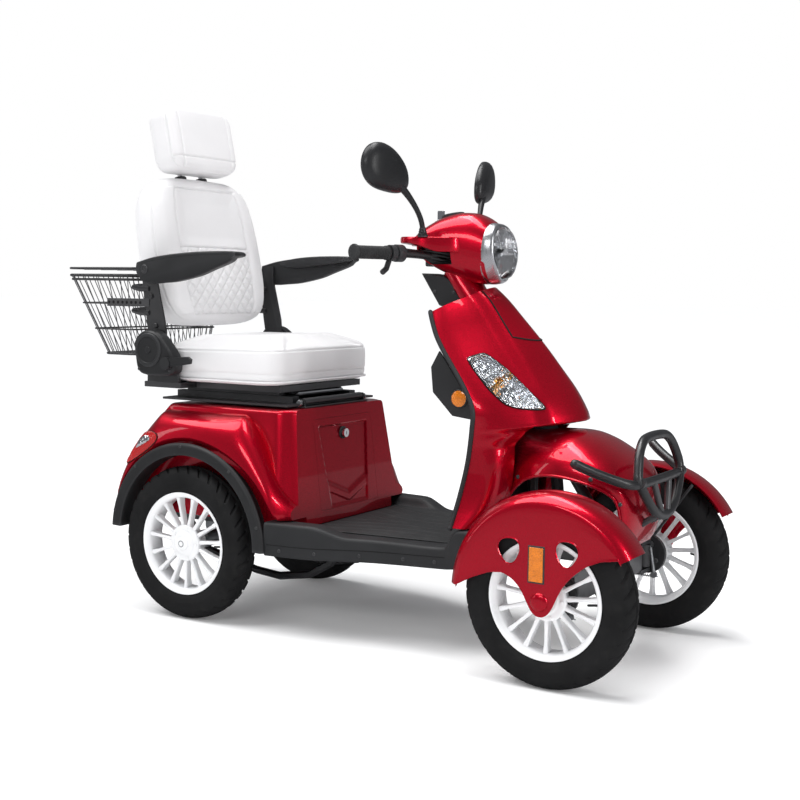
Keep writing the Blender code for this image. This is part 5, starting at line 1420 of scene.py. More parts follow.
def make_underframe():
    refined("main_frame", STEEL_BLACK, 0.0016, 2, 30.0)
    refined("drive_unit", CAST, 0.003, 3, 30.0)
    refined("battery_pack", PLASTIC, 0.006, 3, 30.0, "battery_case")
    trim = Bundle()
    for x in (-0.318, -0.285, -0.252, -0.219, -0.186):
        trim.block((x - 0.006, -0.1615, 0.3), (x + 0.006, 0.1615, 0.448))
    trim.capped_tube(round_path([(-0.243, -0.09, 0.468), (-0.243, -0.085, 0.492), (-0.243, -0.07, 0.5),
        (-0.243, 0.07, 0.5), (-0.243, 0.085, 0.492), (-0.243, 0.09, 0.468)], 5), 0.006, 12)
    trim.make("battery_ribs", FLOOR_PLASTIC, "chassis", bevel=0.001)
    springs = Bundle()
    for side in (RIGHT, LEFT):
        coil(springs, at_side(side, -0.418, 0.185, 0.262), at_side(side, -0.455, 0.165, 0.42), 0.023,
            0.0048, 6.0)
    springs.make("rear_springs", STEEL_BLACK, "chassis")
    rods = Bundle()
    for side in (RIGHT, LEFT):
        rods.tube([at_side(side, -0.414, 0.187, 0.25), at_side(side, -0.459, 0.163, 0.44)], 0.0085, 16)
        for share in (0.0, 1.0):
            spot = at_side(side, -0.418, 0.185, 0.262).lerp(at_side(side, -0.455, 0.165, 0.42), share)
            rods.disc(spot, (-0.037, -side * 0.02, 0.158), [(0.029, -0.003), (0.029, 0.003), (0.02, 0.005)],
                28)
    rods.make("rear_dampers", CAST, "chassis", bevel=0.0006)
    stem = Bundle()
    stem.disc(steer_place(0.352), STEER_AXIS, [(0.0275, -0.012), (0.03, -0.008), (0.03, 0.002),
        (0.024, 0.006)], 32)
    stem.disc(steer_place(0.588), STEER_AXIS, [(0.024, -0.006), (0.03, -0.002), (0.03, 0.008),
        (0.0275, 0.012)], 32)
    stem.make("head_bearings", CAST, "chassis", bevel=0.0005)
    refined("steering_stem", STEEL_BLACK, 0.001, 2, 30.0)


make_floor()
make_inner_panel()
make_underframe()


# ---------------------------------------------------------------- Padded seat

SWELL_FRAMES = 20
SWELL_LIMIT = 0.01


def stuffed(name, rings, node, body, voxel, pinned, relief):
    """A padded piece: a closed shape swollen by a cloth simulation, then pressed with its seams."""
    points, faces = lofted(rings)
    made = piece(name, points, faces, LEATHER, body, replaces=node, angle=180.0)
    net = made.modifiers.new("net", "REMESH")
    net.mode = "VOXEL"
    net.voxel_size = voxel
    net.use_smooth_shade = True
    baked(made)
    group = made.vertex_groups.new(name="held")
    for vertex in made.data.vertices:
        weight = pinned(vertex.co)
        if weight > 0.0:
            group.add([vertex.index], weight, "REPLACE")
    start = [vertex.co.copy() for vertex in made.data.vertices]
    cloth = made.modifiers.new("cloth", "CLOTH")
    settings = cloth.settings
    settings.quality = 4
    settings.mass = 0.3
    settings.tension_stiffness = 18.0
    settings.compression_stiffness = 18.0
    settings.bending_stiffness = 2.0
    settings.use_pressure = True
    settings.uniform_pressure_force = 4.0
    settings.vertex_group_mass = "held"
    settings.effector_weights.gravity = 0.0
    cloth.point_cache.frame_start = 1
    cloth.point_cache.frame_end = SWELL_FRAMES
    for frame_number in range(1, SWELL_FRAMES + 1):
        bpy.context.scene.frame_set(frame_number)
    baked(made)
    bpy.context.scene.frame_set(1)
    for vertex, before in zip(made.data.vertices, start):
        moved = vertex.co - before
        if moved.length > SWELL_LIMIT:
            vertex.co = before + moved.normalized() * SWELL_LIMIT
    finer = made.modifiers.new("finer", "SUBSURF")
    finer.levels = finer.render_levels = 1
    baked(made)
    normals = [vertex.normal.copy() for vertex in made.data.vertices]
    for vertex, normal in zip(made.data.vertices, normals):
        vertex.co += normal * relief(vertex.co, normal)
    for face in made.data.polygons:
        face.use_smooth = True
    if not made.data.materials:
        made.data.materials.append(LEATHER)
    return made


def groove(distance, width, depth):
    return -depth * math.exp(-(distance / width) ** 2)


def rounded(half_x, half_y, corner, steps=8):
    outline = []
    for start, (sx, sy) in zip((0.0, 90.0, 180.0, 270.0), ((1, 1), (-1, 1), (-1, -1), (1, -1))):
        for index in range(steps + 1):
            turn = math.radians(start + 90.0 * index / steps)
            outline.append((sx * (half_x - corner) + corner * math.cos(turn),
                sy * (half_y - corner) + corner * math.sin(turn)))
    return outline


SEAT_MIDDLE_X = -0.332


def seat_height(x, z):
    return z + 0.02 * (x - SEAT_MIDDLE_X) * (z - 0.63) / 0.11


def make_cushion():
    rings = []
    for z, share in ((0.63, 0.93), (0.634, 0.965), (0.645, 0.99), (0.67, 1.0), (0.7, 1.0), (0.718, 0.992),
            (0.731, 0.965), (0.74, 0.915), (0.745, 0.82), (0.748, 0.62), (0.7495, 0.36), (0.75, 0.1)):
        rings.append([(SEAT_MIDDLE_X + x * share, y * share, seat_height(SEAT_MIDDLE_X + x * share, z))
            for x, y in rounded(0.201, 0.236, 0.058)])

    def held(point):
        edge = abs(point.z - seat_height(point.x, 0.718))
        return 1.0 if point.z < 0.64 else (0.9 if edge < 0.0035 else 0.0)

    def pressed(point, normal):
        x = point.x - SEAT_MIDDLE_X
        edge = point.z - seat_height(point.x, 0.718)
        depth = 0.0
        if point.z < 0.737:
            depth += groove(edge, 0.0022, 0.0034)
        if normal.z > 0.6:
            depth -= 0.0045 * ease(0.19 - abs(point.y), 0.0, 0.11) * ease(0.12 - abs(x), 0.0, 0.09)
        elif point.z > 0.645:
            depth += groove(point.z - 0.66, 0.0022, 0.0022)
        return depth

    stuffed("seat_cushion_pad", rings, "seat_cushion", "seat_slide", 0.0055, held, pressed)
    piping = [(SEAT_MIDDLE_X + x * 0.985, y * 0.985, 0.6385) for x, y in rounded(0.2035, 0.2385, 0.058)]
    rod("seat_cushion_piping", LEATHER, "seat_slide", piping, 0.003, 10, "ring")


BACK_FOOT = Vector((-0.487, 0.0, 0.765))
BACK_LEAN = math.radians(12.0)
BACK_UP = Vector((-math.sin(BACK_LEAN), 0.0, math.cos(BACK_LEAN)))
BACK_OUT = Vector((math.cos(BACK_LEAN), 0.0, math.sin(BACK_LEAN)))
BACK_OUTLINE = [(0.02, 0.0), (0.021, 0.14), (0.036, 0.184), (0.072, 0.214), (0.13, 0.229), (0.2, 0.231),
    (0.27, 0.229), (0.335, 0.223), (0.385, 0.209), (0.42, 0.184), (0.438, 0.15), (0.445, 0.095),
    (0.446, 0.0)]
BACK_MIDDLE = 0.2
QUILT_TOP, QUILT_PITCH, SEAM_OUT = 0.235, 0.038, -0.012
HEAD_MIDDLE = 0.546
POST_Y, POST_OUT = 0.045, -0.034


def back_point(up, side, out):
    return BACK_FOOT + BACK_UP * up + BACK_OUT * out + Vector((0.0, side, 0.0))


def back_frame_place(point):
    """Height, sideways place and depth of a point on the backrest."""
    away = point - BACK_FOOT
    return away.dot(BACK_UP), point.y, away.dot(BACK_OUT)


def back_half(up):
    for (low, start), (high, end) in zip(BACK_OUTLINE[1:], BACK_OUTLINE[2:]):
        if low <= up <= high and high > low:
            return lerp(start, end, (up - low) / (high - low))
    return 0.14 if up < 0.1 else 0.0


def make_backrest():
    half = densify(BACK_OUTLINE, 4, 0.4)
    rings = []
    for out, share in ((-0.09, 0.86), (-0.086, 0.915), (-0.074, 0.965), (-0.055, 0.99), (-0.03, 0.992),
            (-0.008, 0.975), (0.004, 0.935), (0.011, 0.87), (0.014, 0.76), (0.0145, 0.55), (0.0145, 0.3),
            (0.0145, 0.08)):
        ring = [back_point(lerp(BACK_MIDDLE, up, share), side * share, out) for up, side in half]
        ring += [back_point(lerp(BACK_MIDDLE, up, share), -side * share, out) for up,
            side in reversed(half[1:-1])]
        rings.append(ring)

    def panel(up, side):
        """How far a place is outside the front panel's border."""
        border = 0.6 * back_half(min(max(up, 0.0), 0.4)) + 0.01
        return max(abs(side) - border, 0.046 - up, up - 0.405)

    def held(point):
        up, side, out = back_frame_place(point)
        if out < -0.08 or abs(out - SEAM_OUT) < 0.0035:
            return 1.0
        return 0.95 if out > -0.008 and abs(panel(up, side)) < 0.004 else 0.0

    def pressed(point, normal):
        up, side, out = back_frame_place(point)
        depth = 0.0
        if out < -0.002:
            depth += groove(out - SEAM_OUT, 0.0022, 0.0032) + groove(out + 0.074, 0.0022, 0.0026)
        if normal.dot(BACK_OUT) > 0.5:
            border = panel(up, side)
            depth += groove(border, 0.0028, 0.0055)
            if border < 0.0:
                if up > QUILT_TOP:
                    depth -= 0.007 * ease(-border, 0.0, 0.045) * ease(up, QUILT_TOP, 0.27)
                else:
                    first = (side + up) / QUILT_PITCH % 1.0
                    second = (side - up) / QUILT_PITCH % 1.0
                    near = min(first, 1.0 - first, second, 1.0 - second) * QUILT_PITCH * 0.7071
                    fade = ease(QUILT_TOP - up, 0.0, 0.004)
                    depth += fade * (groove(near, 0.0028, 0.0046) + 0.0012)
                depth += groove(up - QUILT_TOP, 0.0026, 0.0048)
            else:
                wing = abs(side) / max(back_half(up), 0.05)
                if 0.046 < up < 0.405:
                    depth += 0.0035 * ease(wing, 0.62, 0.72) * ease(0.95 - wing, 0.0, 0.1)
        elif normal.dot(BACK_OUT) < -0.5:
            depth += groove(panel(up, side), 0.0026, 0.0026)
        return depth

    stuffed("backrest_pad", rings, "backrest", "backrest", 0.0055, held, pressed)
    discs("headrest_guides", PLASTIC, "backrest", [back_point(0.4465, side * POST_Y, POST_OUT)
        for side in (RIGHT, LEFT)], BACK_UP, [(0.0175, -0.006), (0.0175, 0.0015), (0.015, 0.0045),
        (0.007, 0.0055)], 28)


def make_headrest():
    rings = []
    for out, share in ((-0.046, 0.84), (-0.043, 0.9), (-0.034, 0.965), (-0.015, 0.99), (0.01, 0.99),
            (0.03, 0.965), (0.04, 0.915), (0.0445, 0.84), (0.0465, 0.66), (0.047, 0.4), (0.0472, 0.12)):
        rings.append([back_point(HEAD_MIDDLE + up * share, side * share, out) for side,
            up in rounded(0.143, 0.093, 0.038)])

    def held(point):
        _, _, out = back_frame_place(point)
        held_seam = abs(out - 0.026) < 0.0035 or out < -0.03
        return 1.0 if held_seam or abs(point.y) > 0.125 and out < 0.026 else 0.55

    def pressed(point, normal):
        up, side, out = back_frame_place(point)
        up -= HEAD_MIDDLE
        depth = groove(out - 0.026, 0.0022, 0.0032) + groove(out + 0.03, 0.0022, 0.0028)
        if normal.dot(BACK_OUT) > 0.5:
            depth += groove(abs(side) - 0.104, 0.0026, 0.004)
            depth += groove(up + 0.056, 0.0026, 0.0036)
        return depth

    stuffed("headrest_pad", rings, "headrest", "headrest", 0.0045, held, pressed)
    posts = Bundle()
    for side in (RIGHT, LEFT):
        posts.tube([back_point(up, side * POST_Y, POST_OUT) for up in (0.345, 0.5)], 0.006, 20)
        for index in range(4):
            posts.disc(back_point(0.385 + 0.016 * index, side * POST_Y, POST_OUT), BACK_UP,
                [(0.0062, -0.0008), (0.0062, 0.0008)], 20)
    posts.make("headrest_posts", CHROME, "headrest")


make_cushion()
make_backrest()
make_headrest()


# ---------------------------------------------------------------- Seat hardware

def make_seat_hardware():
    refined("seat_hinge", STEEL_BLACK, 0.001)
    refined("seat_platform", STEEL_BLACK, 0.0012)
    refined("seat_pan", STEEL_BLACK, 0.0012)
    refined("slide_lever", CHROME, 0.0)
    refined("recline_lever", ARM_PLASTIC, 0.003, 3, 30.0, "recline_handle")
    bolts = Bundle()
    for side in (RIGHT, LEFT):
        for x in (-0.5, -0.34, -0.19):
            bolts.disc(at_side(side, x, 0.135, 0.599), UP, [(0.005, 0.0), (0.005, 0.0005)], 6)
        for x in (-0.53, -0.46):
            bolts.disc(at_side(side, x, 0.236, 0.6275), UP, [(0.007, 0.0), (0.007, 0.0045),
                (0.0055, 0.0055)], 6)
    bolts.make("seat_bolts", CAST, "seat_slide", bevel=0.0004)
    discs("seat_hinge_pins", CAST, "chassis", [at_side(side, -0.11, 0.15, 0.583) for side in (RIGHT, LEFT)],
        None, [(0.0095, -0.001), (0.0095, 0.005), (0.008, 0.0062)], 6, bevel=0.0004)
    outline = closed_curve([(-0.562, 0.735), (-0.545, 0.762), (-0.512, 0.772), (-0.478, 0.765),
        (-0.448, 0.735), (-0.418, 0.7), (-0.414, 0.672), (-0.42, 0.655), (-0.445, 0.646), (-0.53, 0.646),
        (-0.55, 0.66), (-0.556, 0.69)], 5, 0.45)
    for side_name, side in SIDES:
        rings = [[(x, side * depth, z) for x, z in shrunk(outline, share)] for depth,
            share in ((0.2635, 0.97), (0.2645, 1.0), (0.286, 1.0), (0.292, 0.985), (0.296, 0.955),
            (0.2985, 0.9), (0.299, 0.8))]
        loft_piece(f"recliner_case_{side_name}", rings, ARM_PLASTIC, "seat_slide",
            replaces=f"recliner_cover_{side_name}", angle=30.0)
        discs(f"recliner_disc_{side_name}", ARM_PLASTIC, "seat_slide", [(-0.507, side * 0.2985, 0.716)],
            None, [(0.046, -0.004), (0.046, 0.0016), (0.0435, 0.0036), (0.036, 0.0038), (0.0345, 0.0022),
            (0.01, 0.0022), (0.0088, 0.0042), (0.003, 0.0046)], 56, angle=30.0)
        discs(f"recliner_screws_{side_name}", STEEL_BLACK, "seat_slide",
            [(x, side * 0.2985, 0.664) for x in (-0.54, -0.432)], None, [(0.0046, -0.001), (0.0046, 0.001),
            (0.003, 0.002)], 16)


def make_back_frame():
    refined("back_frame", STEEL_BLACK, 0.0012)
    parts = Bundle()
    for side in (RIGHT, LEFT):
        for x, z in ((-0.5, 0.705), (-0.512, 0.78), (-0.528, 0.86)):
            parts.disc(at_side(side, x, 0.262, z), (0.0, side, 0.0), [(0.0075, -0.001), (0.0075, 0.0036),
                (0.006, 0.0048)], 6)
        parts.disc(at_side(side, -0.518, 0.262, 0.72), (0.0, side, 0.0), [(0.015, -0.006), (0.015, 0.0008)],
            24)
    parts.make("back_frame_bolts", STEEL_BLACK, "backrest", bevel=0.0004)
    bar_y, bar_z = 0.2625, 0.842
    blocks("basket_bars", STEEL_BLACK, "backrest", [((-0.69, side * bar_y - 0.0015, bar_z - 0.011),
        (-0.535, side * bar_y + 0.0015, bar_z + 0.011)) for side in (RIGHT, LEFT)], bevel=0.0005)
    discs("basket_bar_holes", GAP, "backrest", [(-0.682 + 0.0165 * index, side * bar_y, bar_z)
        for side in (RIGHT, LEFT) for index in range(8)], None, [(0.0042, -0.0018), (0.0042, 0.0018)], 16)


ARM_OUTLINE = [(-0.556, 0.952), (-0.5, 0.966), (-0.42, 0.975), (-0.33, 0.98), (-0.226, 0.98),
    (-0.217, 0.974), (-0.217, 0.967), (-0.229, 0.96), (-0.236, 0.951), (-0.3, 0.93), (-0.34, 0.915),
    (-0.42, 0.899), (-0.47, 0.896), (-0.51, 0.893), (-0.538, 0.898), (-0.554, 0.915), (-0.558, 0.935)]


def make_armrest(side_name, side):
    outline = closed_curve(ARM_OUTLINE, 4, 0.35)
    body = f"armrest_{side_name}"
    middle_z = 0.945
    rings = []
    for depth, drop in ((0.2627, 0.003), (0.264, 0.001), (0.268, 0.0), (0.284, 0.0), (0.287, 0.001),
            (0.2888, 0.0028), (0.29, 0.0055)):
        ring = []
        for x, z in outline:
            near_z = middle_z + 0.03 * min(max((x + 0.4) / 0.18, -0.6), 0.8)
            rise = near_z - z
            ring.append((x, side * depth, z + math.copysign(min(drop, 0.25 * abs(rise)), rise)))
        rings.append(ring)
    loft_piece(f"armrest_pad_{side_name}", rings, ARM_PLASTIC, body, replaces=body, angle=45.0)
    wide = closed_curve([(-0.47, 0.956), (-0.44, 0.97), (-0.4, 0.976), (-0.33, 0.98), (-0.228, 0.98),
        (-0.219, 0.973), (-0.226, 0.964), (-0.3, 0.955), (-0.4, 0.944), (-0.455, 0.946)], 3, 0.35)
    rings = [[(x, side * depth, 0.964 + (z - 0.964) * share) for x, z in wide] for depth,
        share in ((0.2385, 0.8), (0.2395, 0.9), (0.242, 0.96), (0.246, 1.0), (0.2665, 1.0))]
    loft_piece(f"armrest_inner_{side_name}", rings, ARM_PLASTIC, body, angle=45.0)
    discs(f"armrest_screw_{side_name}", STEEL_BLACK, body, [at_side(side, -0.527, 0.2895, 0.933)], None,
        [(0.012, -0.002), (0.012, 0.0014), (0.0105, 0.0028), (0.007, 0.003), (0.006, 0.0016)])
    path = [at_side(side, x, 0.2893, z) for x, z in ((-0.54, 0.948), (-0.48, 0.959), (-0.4, 0.967),
        (-0.32, 0.971), (-0.236, 0.972))]
    rod(f"armrest_seam_{side_name}", GAP, body, round_path(path, 8), 0.0009, 6, "plain")


BASKET_RIM = (-0.9097, -0.65, 0.21, 0.92)
BASKET_FLOOR = (-0.8, -0.668, 0.172, 0.69)
THIN_WIRE = 0.0013
LID_Z, LID_HINGE_X = 0.9365, -0.638


def basket_ring(level, inset=0.0, steps=8):
    rear, front, half, z = (lerp(low, high, level) for low, high in zip(BASKET_FLOOR, BASKET_RIM))
    corners = rounded((front - rear) / 2 - inset, half - inset, 0.028, steps)
    middle = (front + rear) / 2
    return [Vector((middle + x, y, z)) for x, y in corners]


def around(ring, spacing):
    """Places spaced along a closed ring."""
    ring = ring + [ring[0]]
    total = sum((b - a).length for a, b in zip(ring, ring[1:]))
    count = int(round(total / spacing))
    places, travelled, wanted = [], 0.0, 0.0
    for index, (start, end) in enumerate(zip(ring, ring[1:])):
        reach = (end - start).length
        while wanted <= travelled + reach + 1e-9 and len(places) < count:
            places.append((index, (wanted - travelled) / max(reach, 1e-9)))
            wanted += total / count
        travelled += reach
    return places


def on_ring(ring, place):
    index, share = place
    return ring[index].lerp(ring[(index + 1) % len(ring)], share)


def make_basket():
    wires = Bundle()
    for level, radius in ((0.985, 0.0042), (0.935, 0.0034), (0.64, 0.0024), (0.32, 0.0024),
            (0.012, 0.0034)):
        wires.tube(basket_ring(level, radius), radius, 10, closed=True)
    top, bottom = basket_ring(0.985, 0.005), basket_ring(0.012, 0.005)
    for place in around(bottom, 0.0165):
        wires.tube([on_ring(bottom, place), on_ring(top, place)], THIN_WIRE, 6)
    rear, front, half, z = BASKET_FLOOR
    for index in range(1, 20):
        y = lerp(-half, half, index / 20)
        wires.tube([(rear + 0.003, y, z + 0.003), (front - 0.003, y, z + 0.003)], THIN_WIRE, 6)
    for index in range(1, 7):
        x = lerp(rear, front, index / 7)
        wires.tube([(x, -half + 0.004, z + 0.0052), (x, half - 0.004, z + 0.0052)], 0.0034 * 0.55, 6)
    wires.make("basket_wires", STEEL_BLACK, "backrest", replaces="basket", angle=60.0)
    blocks("basket_brackets", STEEL_BLACK, "backrest", [((-0.656, side * 0.086, 0.795),
        (-0.644, side * 0.114, 0.915)) for side in (RIGHT, LEFT)], bevel=0.001)


def make_basket_lid():
    wires = Bundle()
    edge = [Vector((-0.776 + x, y, LID_Z)) for x, y in rounded(0.1295, 0.206, 0.028)]
    wires.tube(edge, 0.0032, 10, closed=True)
    for index in range(1, 12):
        x = lerp(-0.9055, -0.6465, index / 12)
        wires.tube([(x, -0.203, LID_Z), (x, 0.203, LID_Z)], THIN_WIRE, 6)
    for y in (-0.138, -0.069, 0.0, 0.069, 0.138):
        wires.tube([(-0.9035, y, 0.9345), (-0.6485, y, 0.9345)], 0.0022, 6)
    for side in (RIGHT, LEFT):
        wires.tube([at_side(side, -0.648, 0.15, LID_Z), at_side(side, LID_HINGE_X, 0.15, 0.9345)], 0.003, 8)
    wires.tube([(LID_HINGE_X, -0.16, 0.9345), (LID_HINGE_X, 0.16, 0.9345)], 0.0042, 12)
    wires.make("basket_lid_wires", STEEL_BLACK, "basket_lid", replaces="basket_lid", angle=60.0)


make_seat_hardware()
make_back_frame()
for side_name, side in SIDES:
    make_armrest(side_name, side)
make_basket()
make_basket_lid()


# ---------------------------------------------------------------- Steering head

POD_STATIONS = [
    # x, half-width, lower and upper height
    (0.186, 0.078, 0.978, 1.018), (0.196, 0.094, 0.962, 1.036), (0.232, 0.093, 0.938, 1.063),
    (0.275, 0.087, 0.92, 1.079), (0.32, 0.079, 0.905, 1.083), (0.358, 0.071, 0.899, 1.073),
    (0.386, 0.064, 0.903, 1.052),
]
KEY_PLACE = Vector((0.226, 0.0, 1.06))


def pod_ring(x, half, low, high, columns=56):
    middle = (low + high) / 2
    ring = []
    for turn in circle(columns):
        side = math.copysign(abs(math.cos(turn)) ** 0.8, math.cos(turn))
        up = math.copysign(abs(math.sin(turn)) ** 0.8, math.sin(turn))
        ring.append(Vector((x, half * side * (1.0 - 0.1 * min(up, 0.0) ** 2),
            middle + (high - low) / 2 * up)))
    return ring


def pod_rings(inset=0.0):
    rings = []
    for index in range(37):
        x, half, low, high = soft_at(POD_STATIONS, 6.0 * index / 36, 0.55)
        rings.append(pod_ring(x, half - inset, low + inset, high - inset))
    return rings


def make_head_cover():
    rings = pod_rings()
    x, half = POD_STATIONS[0][:2]
    back = [pod_ring(x - 0.006, 0.45 * half, 0.99, 1.006), pod_ring(x - 0.0035, 0.85 * half, 0.983, 1.013)]
    points, faces = lofted(back + rings, False)
    start = len(points)
    inner, inner_faces = lofted(pod_rings(0.0032), False, start)
    count = len(rings[0])
    last_outer = (len(back) + len(rings) - 1) * count
    last_inner = start + (len(rings) - 1) * count
    for index in range(count):
        after = (index + 1) % count
        faces.append((last_outer + index, last_outer + after, last_inner + after, last_inner + index))
    faces.append(tuple(range(count)))
    faces += inner_faces
    faces.append(tuple(range(start, start + count)))
    head = piece("head_shell", points + inner, faces, RED, "steering", replaces="head_cover", angle=35.0)
    for side in (RIGHT, LEFT):
        scooped(head, (0.17, side * 0.046, 0.95), (0.3, side * 0.2, 0.996))
    drilled(head, (KEY_PLACE.x, 0.0, 1.02), UP, 0.0113, 0.08)
    soften(head, 0.0008)
    wings = Bundle()
    for side in (RIGHT, LEFT):
        outline = closed_curve([(0.192, 0.055), (0.33, 0.055), (0.322, 0.086), (0.29, 0.112), (0.262, 0.13),
            (0.243, 0.155), (0.222, 0.163), (0.203, 0.16), (0.19, 0.14), (0.188, 0.11)], 4, 0.4)
        middle = Vector((0.245, 0.095))
        rings = []
        for z, share in ((1.0, 0.95), (1.0012, 0.985), (1.0045, 1.0), (1.0115, 1.0), (1.015, 0.985),
                (1.0165, 0.95)):
            rings.append([(middle.x + (x - middle.x) * share, side * (middle.y + (y - middle.y) * share),
                z - (0.02 * ease(x, 0.225, 0.29) if z < 1.006 else 0.0)) for x, y in outline])
        wings.loft(rings)
    wings.make("head_wings", RED, "steering", angle=35.0)
    across = Vector((0.833886, 0.0, 0.551937))
    rings = [[steer_place(distance) + across * 0.038 * share * math.cos(turn)
        + Vector((0.0, 0.047 * share * math.sin(turn), 0.0)) for turn in circle(48)] for distance,
        share in ((0.012, 0.96), (0.02, 1.0), (0.118, 1.0), (0.126, 0.98), (0.128, 0.94))]
    neck = loft_piece("head_neck", rings, RED, "steering", angle=35.0)
    drilled(neck, steer_place(0.15), STEER_AXIS, 0.034, 0.25, 40)
    soften(neck, 0.001)
    dark = Bundle()
    for side in (RIGHT, LEFT):
        for index, (high_z, reach) in enumerate(((0.984, 0.03), (0.976, 0.02), (0.967, 0.01))):
            path = [at_side(side, 0.296 - 0.008 * index, 0.04, high_z - 0.01),
                at_side(side, 0.272, 0.066, high_z - 0.006), at_side(side, 0.24, 0.092, high_z),
                at_side(side, 0.225, 0.112, high_z - 0.002), at_side(side, 0.216 + 0.004 * index,
                0.13 + reach, 0.985 - 0.004 * index)]
            dark.capped_tube(round_path(path, 6), 0.003, 10)
    dark.make("head_wires", RUBBER, "steering")
    blocks("head_lining", PLASTIC, "steering", [((0.205, -0.044, 0.945), (0.296, 0.044, 0.999))],
        bevel=0.004)


def make_key_and_column():
    refined("key_switch", CHROME, 0.0008, 2, 30.0)
    discs("key_collar", PLASTIC, "steering", [(KEY_PLACE.x, 0.0, 1.052)], (-0.24, 0.0, 1.0),
        [(0.0165, -0.002), (0.0165, 0.0085), (0.015, 0.0105), (0.011, 0.0105), (0.011, 0.002)], 36)
    refined("column_cover", PLASTIC, 0.004, 3, 30.0, "column_case")
    discs("column_screws", STEEL_BLACK, "steering", [at_side(side, x, 0.044, z) for side in (RIGHT, LEFT)
        for x, z in ((0.236, 0.882), (0.29, 0.88))], None, [(0.0042, -0.001), (0.0042, 0.001),
        (0.0028, 0.002)], 16)
    gauge = [(0.262, 0.0, 1.0735)]
    discs("gauge_rim", PLASTIC, "steering", gauge, (-0.2, 0.0, 1.0),
        [(0.03, -0.006), (0.03, 0.0035), (0.0285, 0.0052), (0.0265, 0.0052), (0.0265, 0.003)], 48)
    discs("gauge_glass", MIRROR_BLACK, "steering", gauge, (-0.2, 0.0, 1.0),
        [(0.0262, 0.0), (0.0262, 0.0034), (0.002, 0.004)], 48)


LAMP_MIDDLE_Z = 0.982


def lamp_ring(x, share, lean=1.9):
    ring = []
    for point in pod_ring(0.386, 0.064, 0.903, 1.052, 72):
        rise = point.z - LAMP_MIDDLE_Z
        narrow = 1.0 - 0.3 * ease(-rise, 0.0, 0.075) * ease(x, 0.376, 0.402)
        ring.append(Vector((x - lean * rise * (x - 0.387), point.y * share * narrow,
            LAMP_MIDDLE_Z + rise * share)))
    return ring


def make_headlight():
    bezel = Bundle()
    rings = [lamp_ring(x, share) for x, share in ((0.374, 1.01), (0.376, 1.03), (0.386, 1.03), (0.4, 1.0),
        (0.4075, 0.95), (0.4085, 0.9), (0.406, 0.865), (0.4, 0.855), (0.388, 0.86))]
    bezel.loft(rings + [rings[0]], False)
    bezel.make("headlight_bezel", SILVER, "steering", angle=50.0)
    glass = [lamp_ring(x, share) for x, share in ((0.402, 0.852), (0.4045, 0.855), (0.412, 0.845),
        (0.42, 0.79), (0.426, 0.68), (0.4295, 0.52), (0.4312, 0.33), (0.432, 0.1))]
    loft_piece("headlight_glass", glass, GLASS, "steering", replaces="headlight", angle=50.0)
    bowl = [lamp_ring(x, share) for x, share in ((0.401, 0.85), (0.396, 0.83), (0.382, 0.74), (0.37, 0.58),
        (0.363, 0.38), (0.361, 0.12))]
    points, faces = lofted(bowl)
    piece("headlight_bowl", points, faces[:-2] + faces[-1:], FACETS, "steering", angle=50.0)
    discs("headlight_bulb", CHROME, "steering", [(0.364, 0.0, 0.984)], AHEAD,
        [(0.013, 0.0), (0.013, 0.01), (0.0095, 0.012), (0.0095, 0.026), (0.007, 0.033), (0.002, 0.036)], 28)
    flutes = Bundle()
    for index in range(-9, 10):
        y = index * 0.0052
        reach = math.sqrt(max(1.0 - (y / 0.0545) ** 2, 0.0))
        path = []
        for step in range(9):
            z = lerp(0.99, 0.99 + 0.05 * reach, step / 8)
            rise = z - LAMP_MIDDLE_Z
            bulge = math.sqrt(max(1.0 - (y / 0.056) ** 2 - (rise / 0.064) ** 2, 0.0))
            path.append((0.405 + 0.021 * bulge - 0.045 * rise, y, z))
        flutes.capped_tube(path, 0.0022, 8)
    flutes.make("headlight_flutes", GLASS, "steering")


BAR_HALF_PATH = [(0.1662, 0.31, 0.975), (0.208, 0.17, 0.975), (0.233, 0.105, 0.973), (0.262, 0.04, 0.964)]


def bar_place(share, side):
    outer, inner = (Vector(point) for point in BAR_HALF_PATH[:2])
    spot = outer.lerp(inner, share)
    return Vector((spot.x, side * spot.y, spot.z))


def bar_direction(side):
    return (bar_place(0.0, side) - bar_place(1.0, side)).normalized()


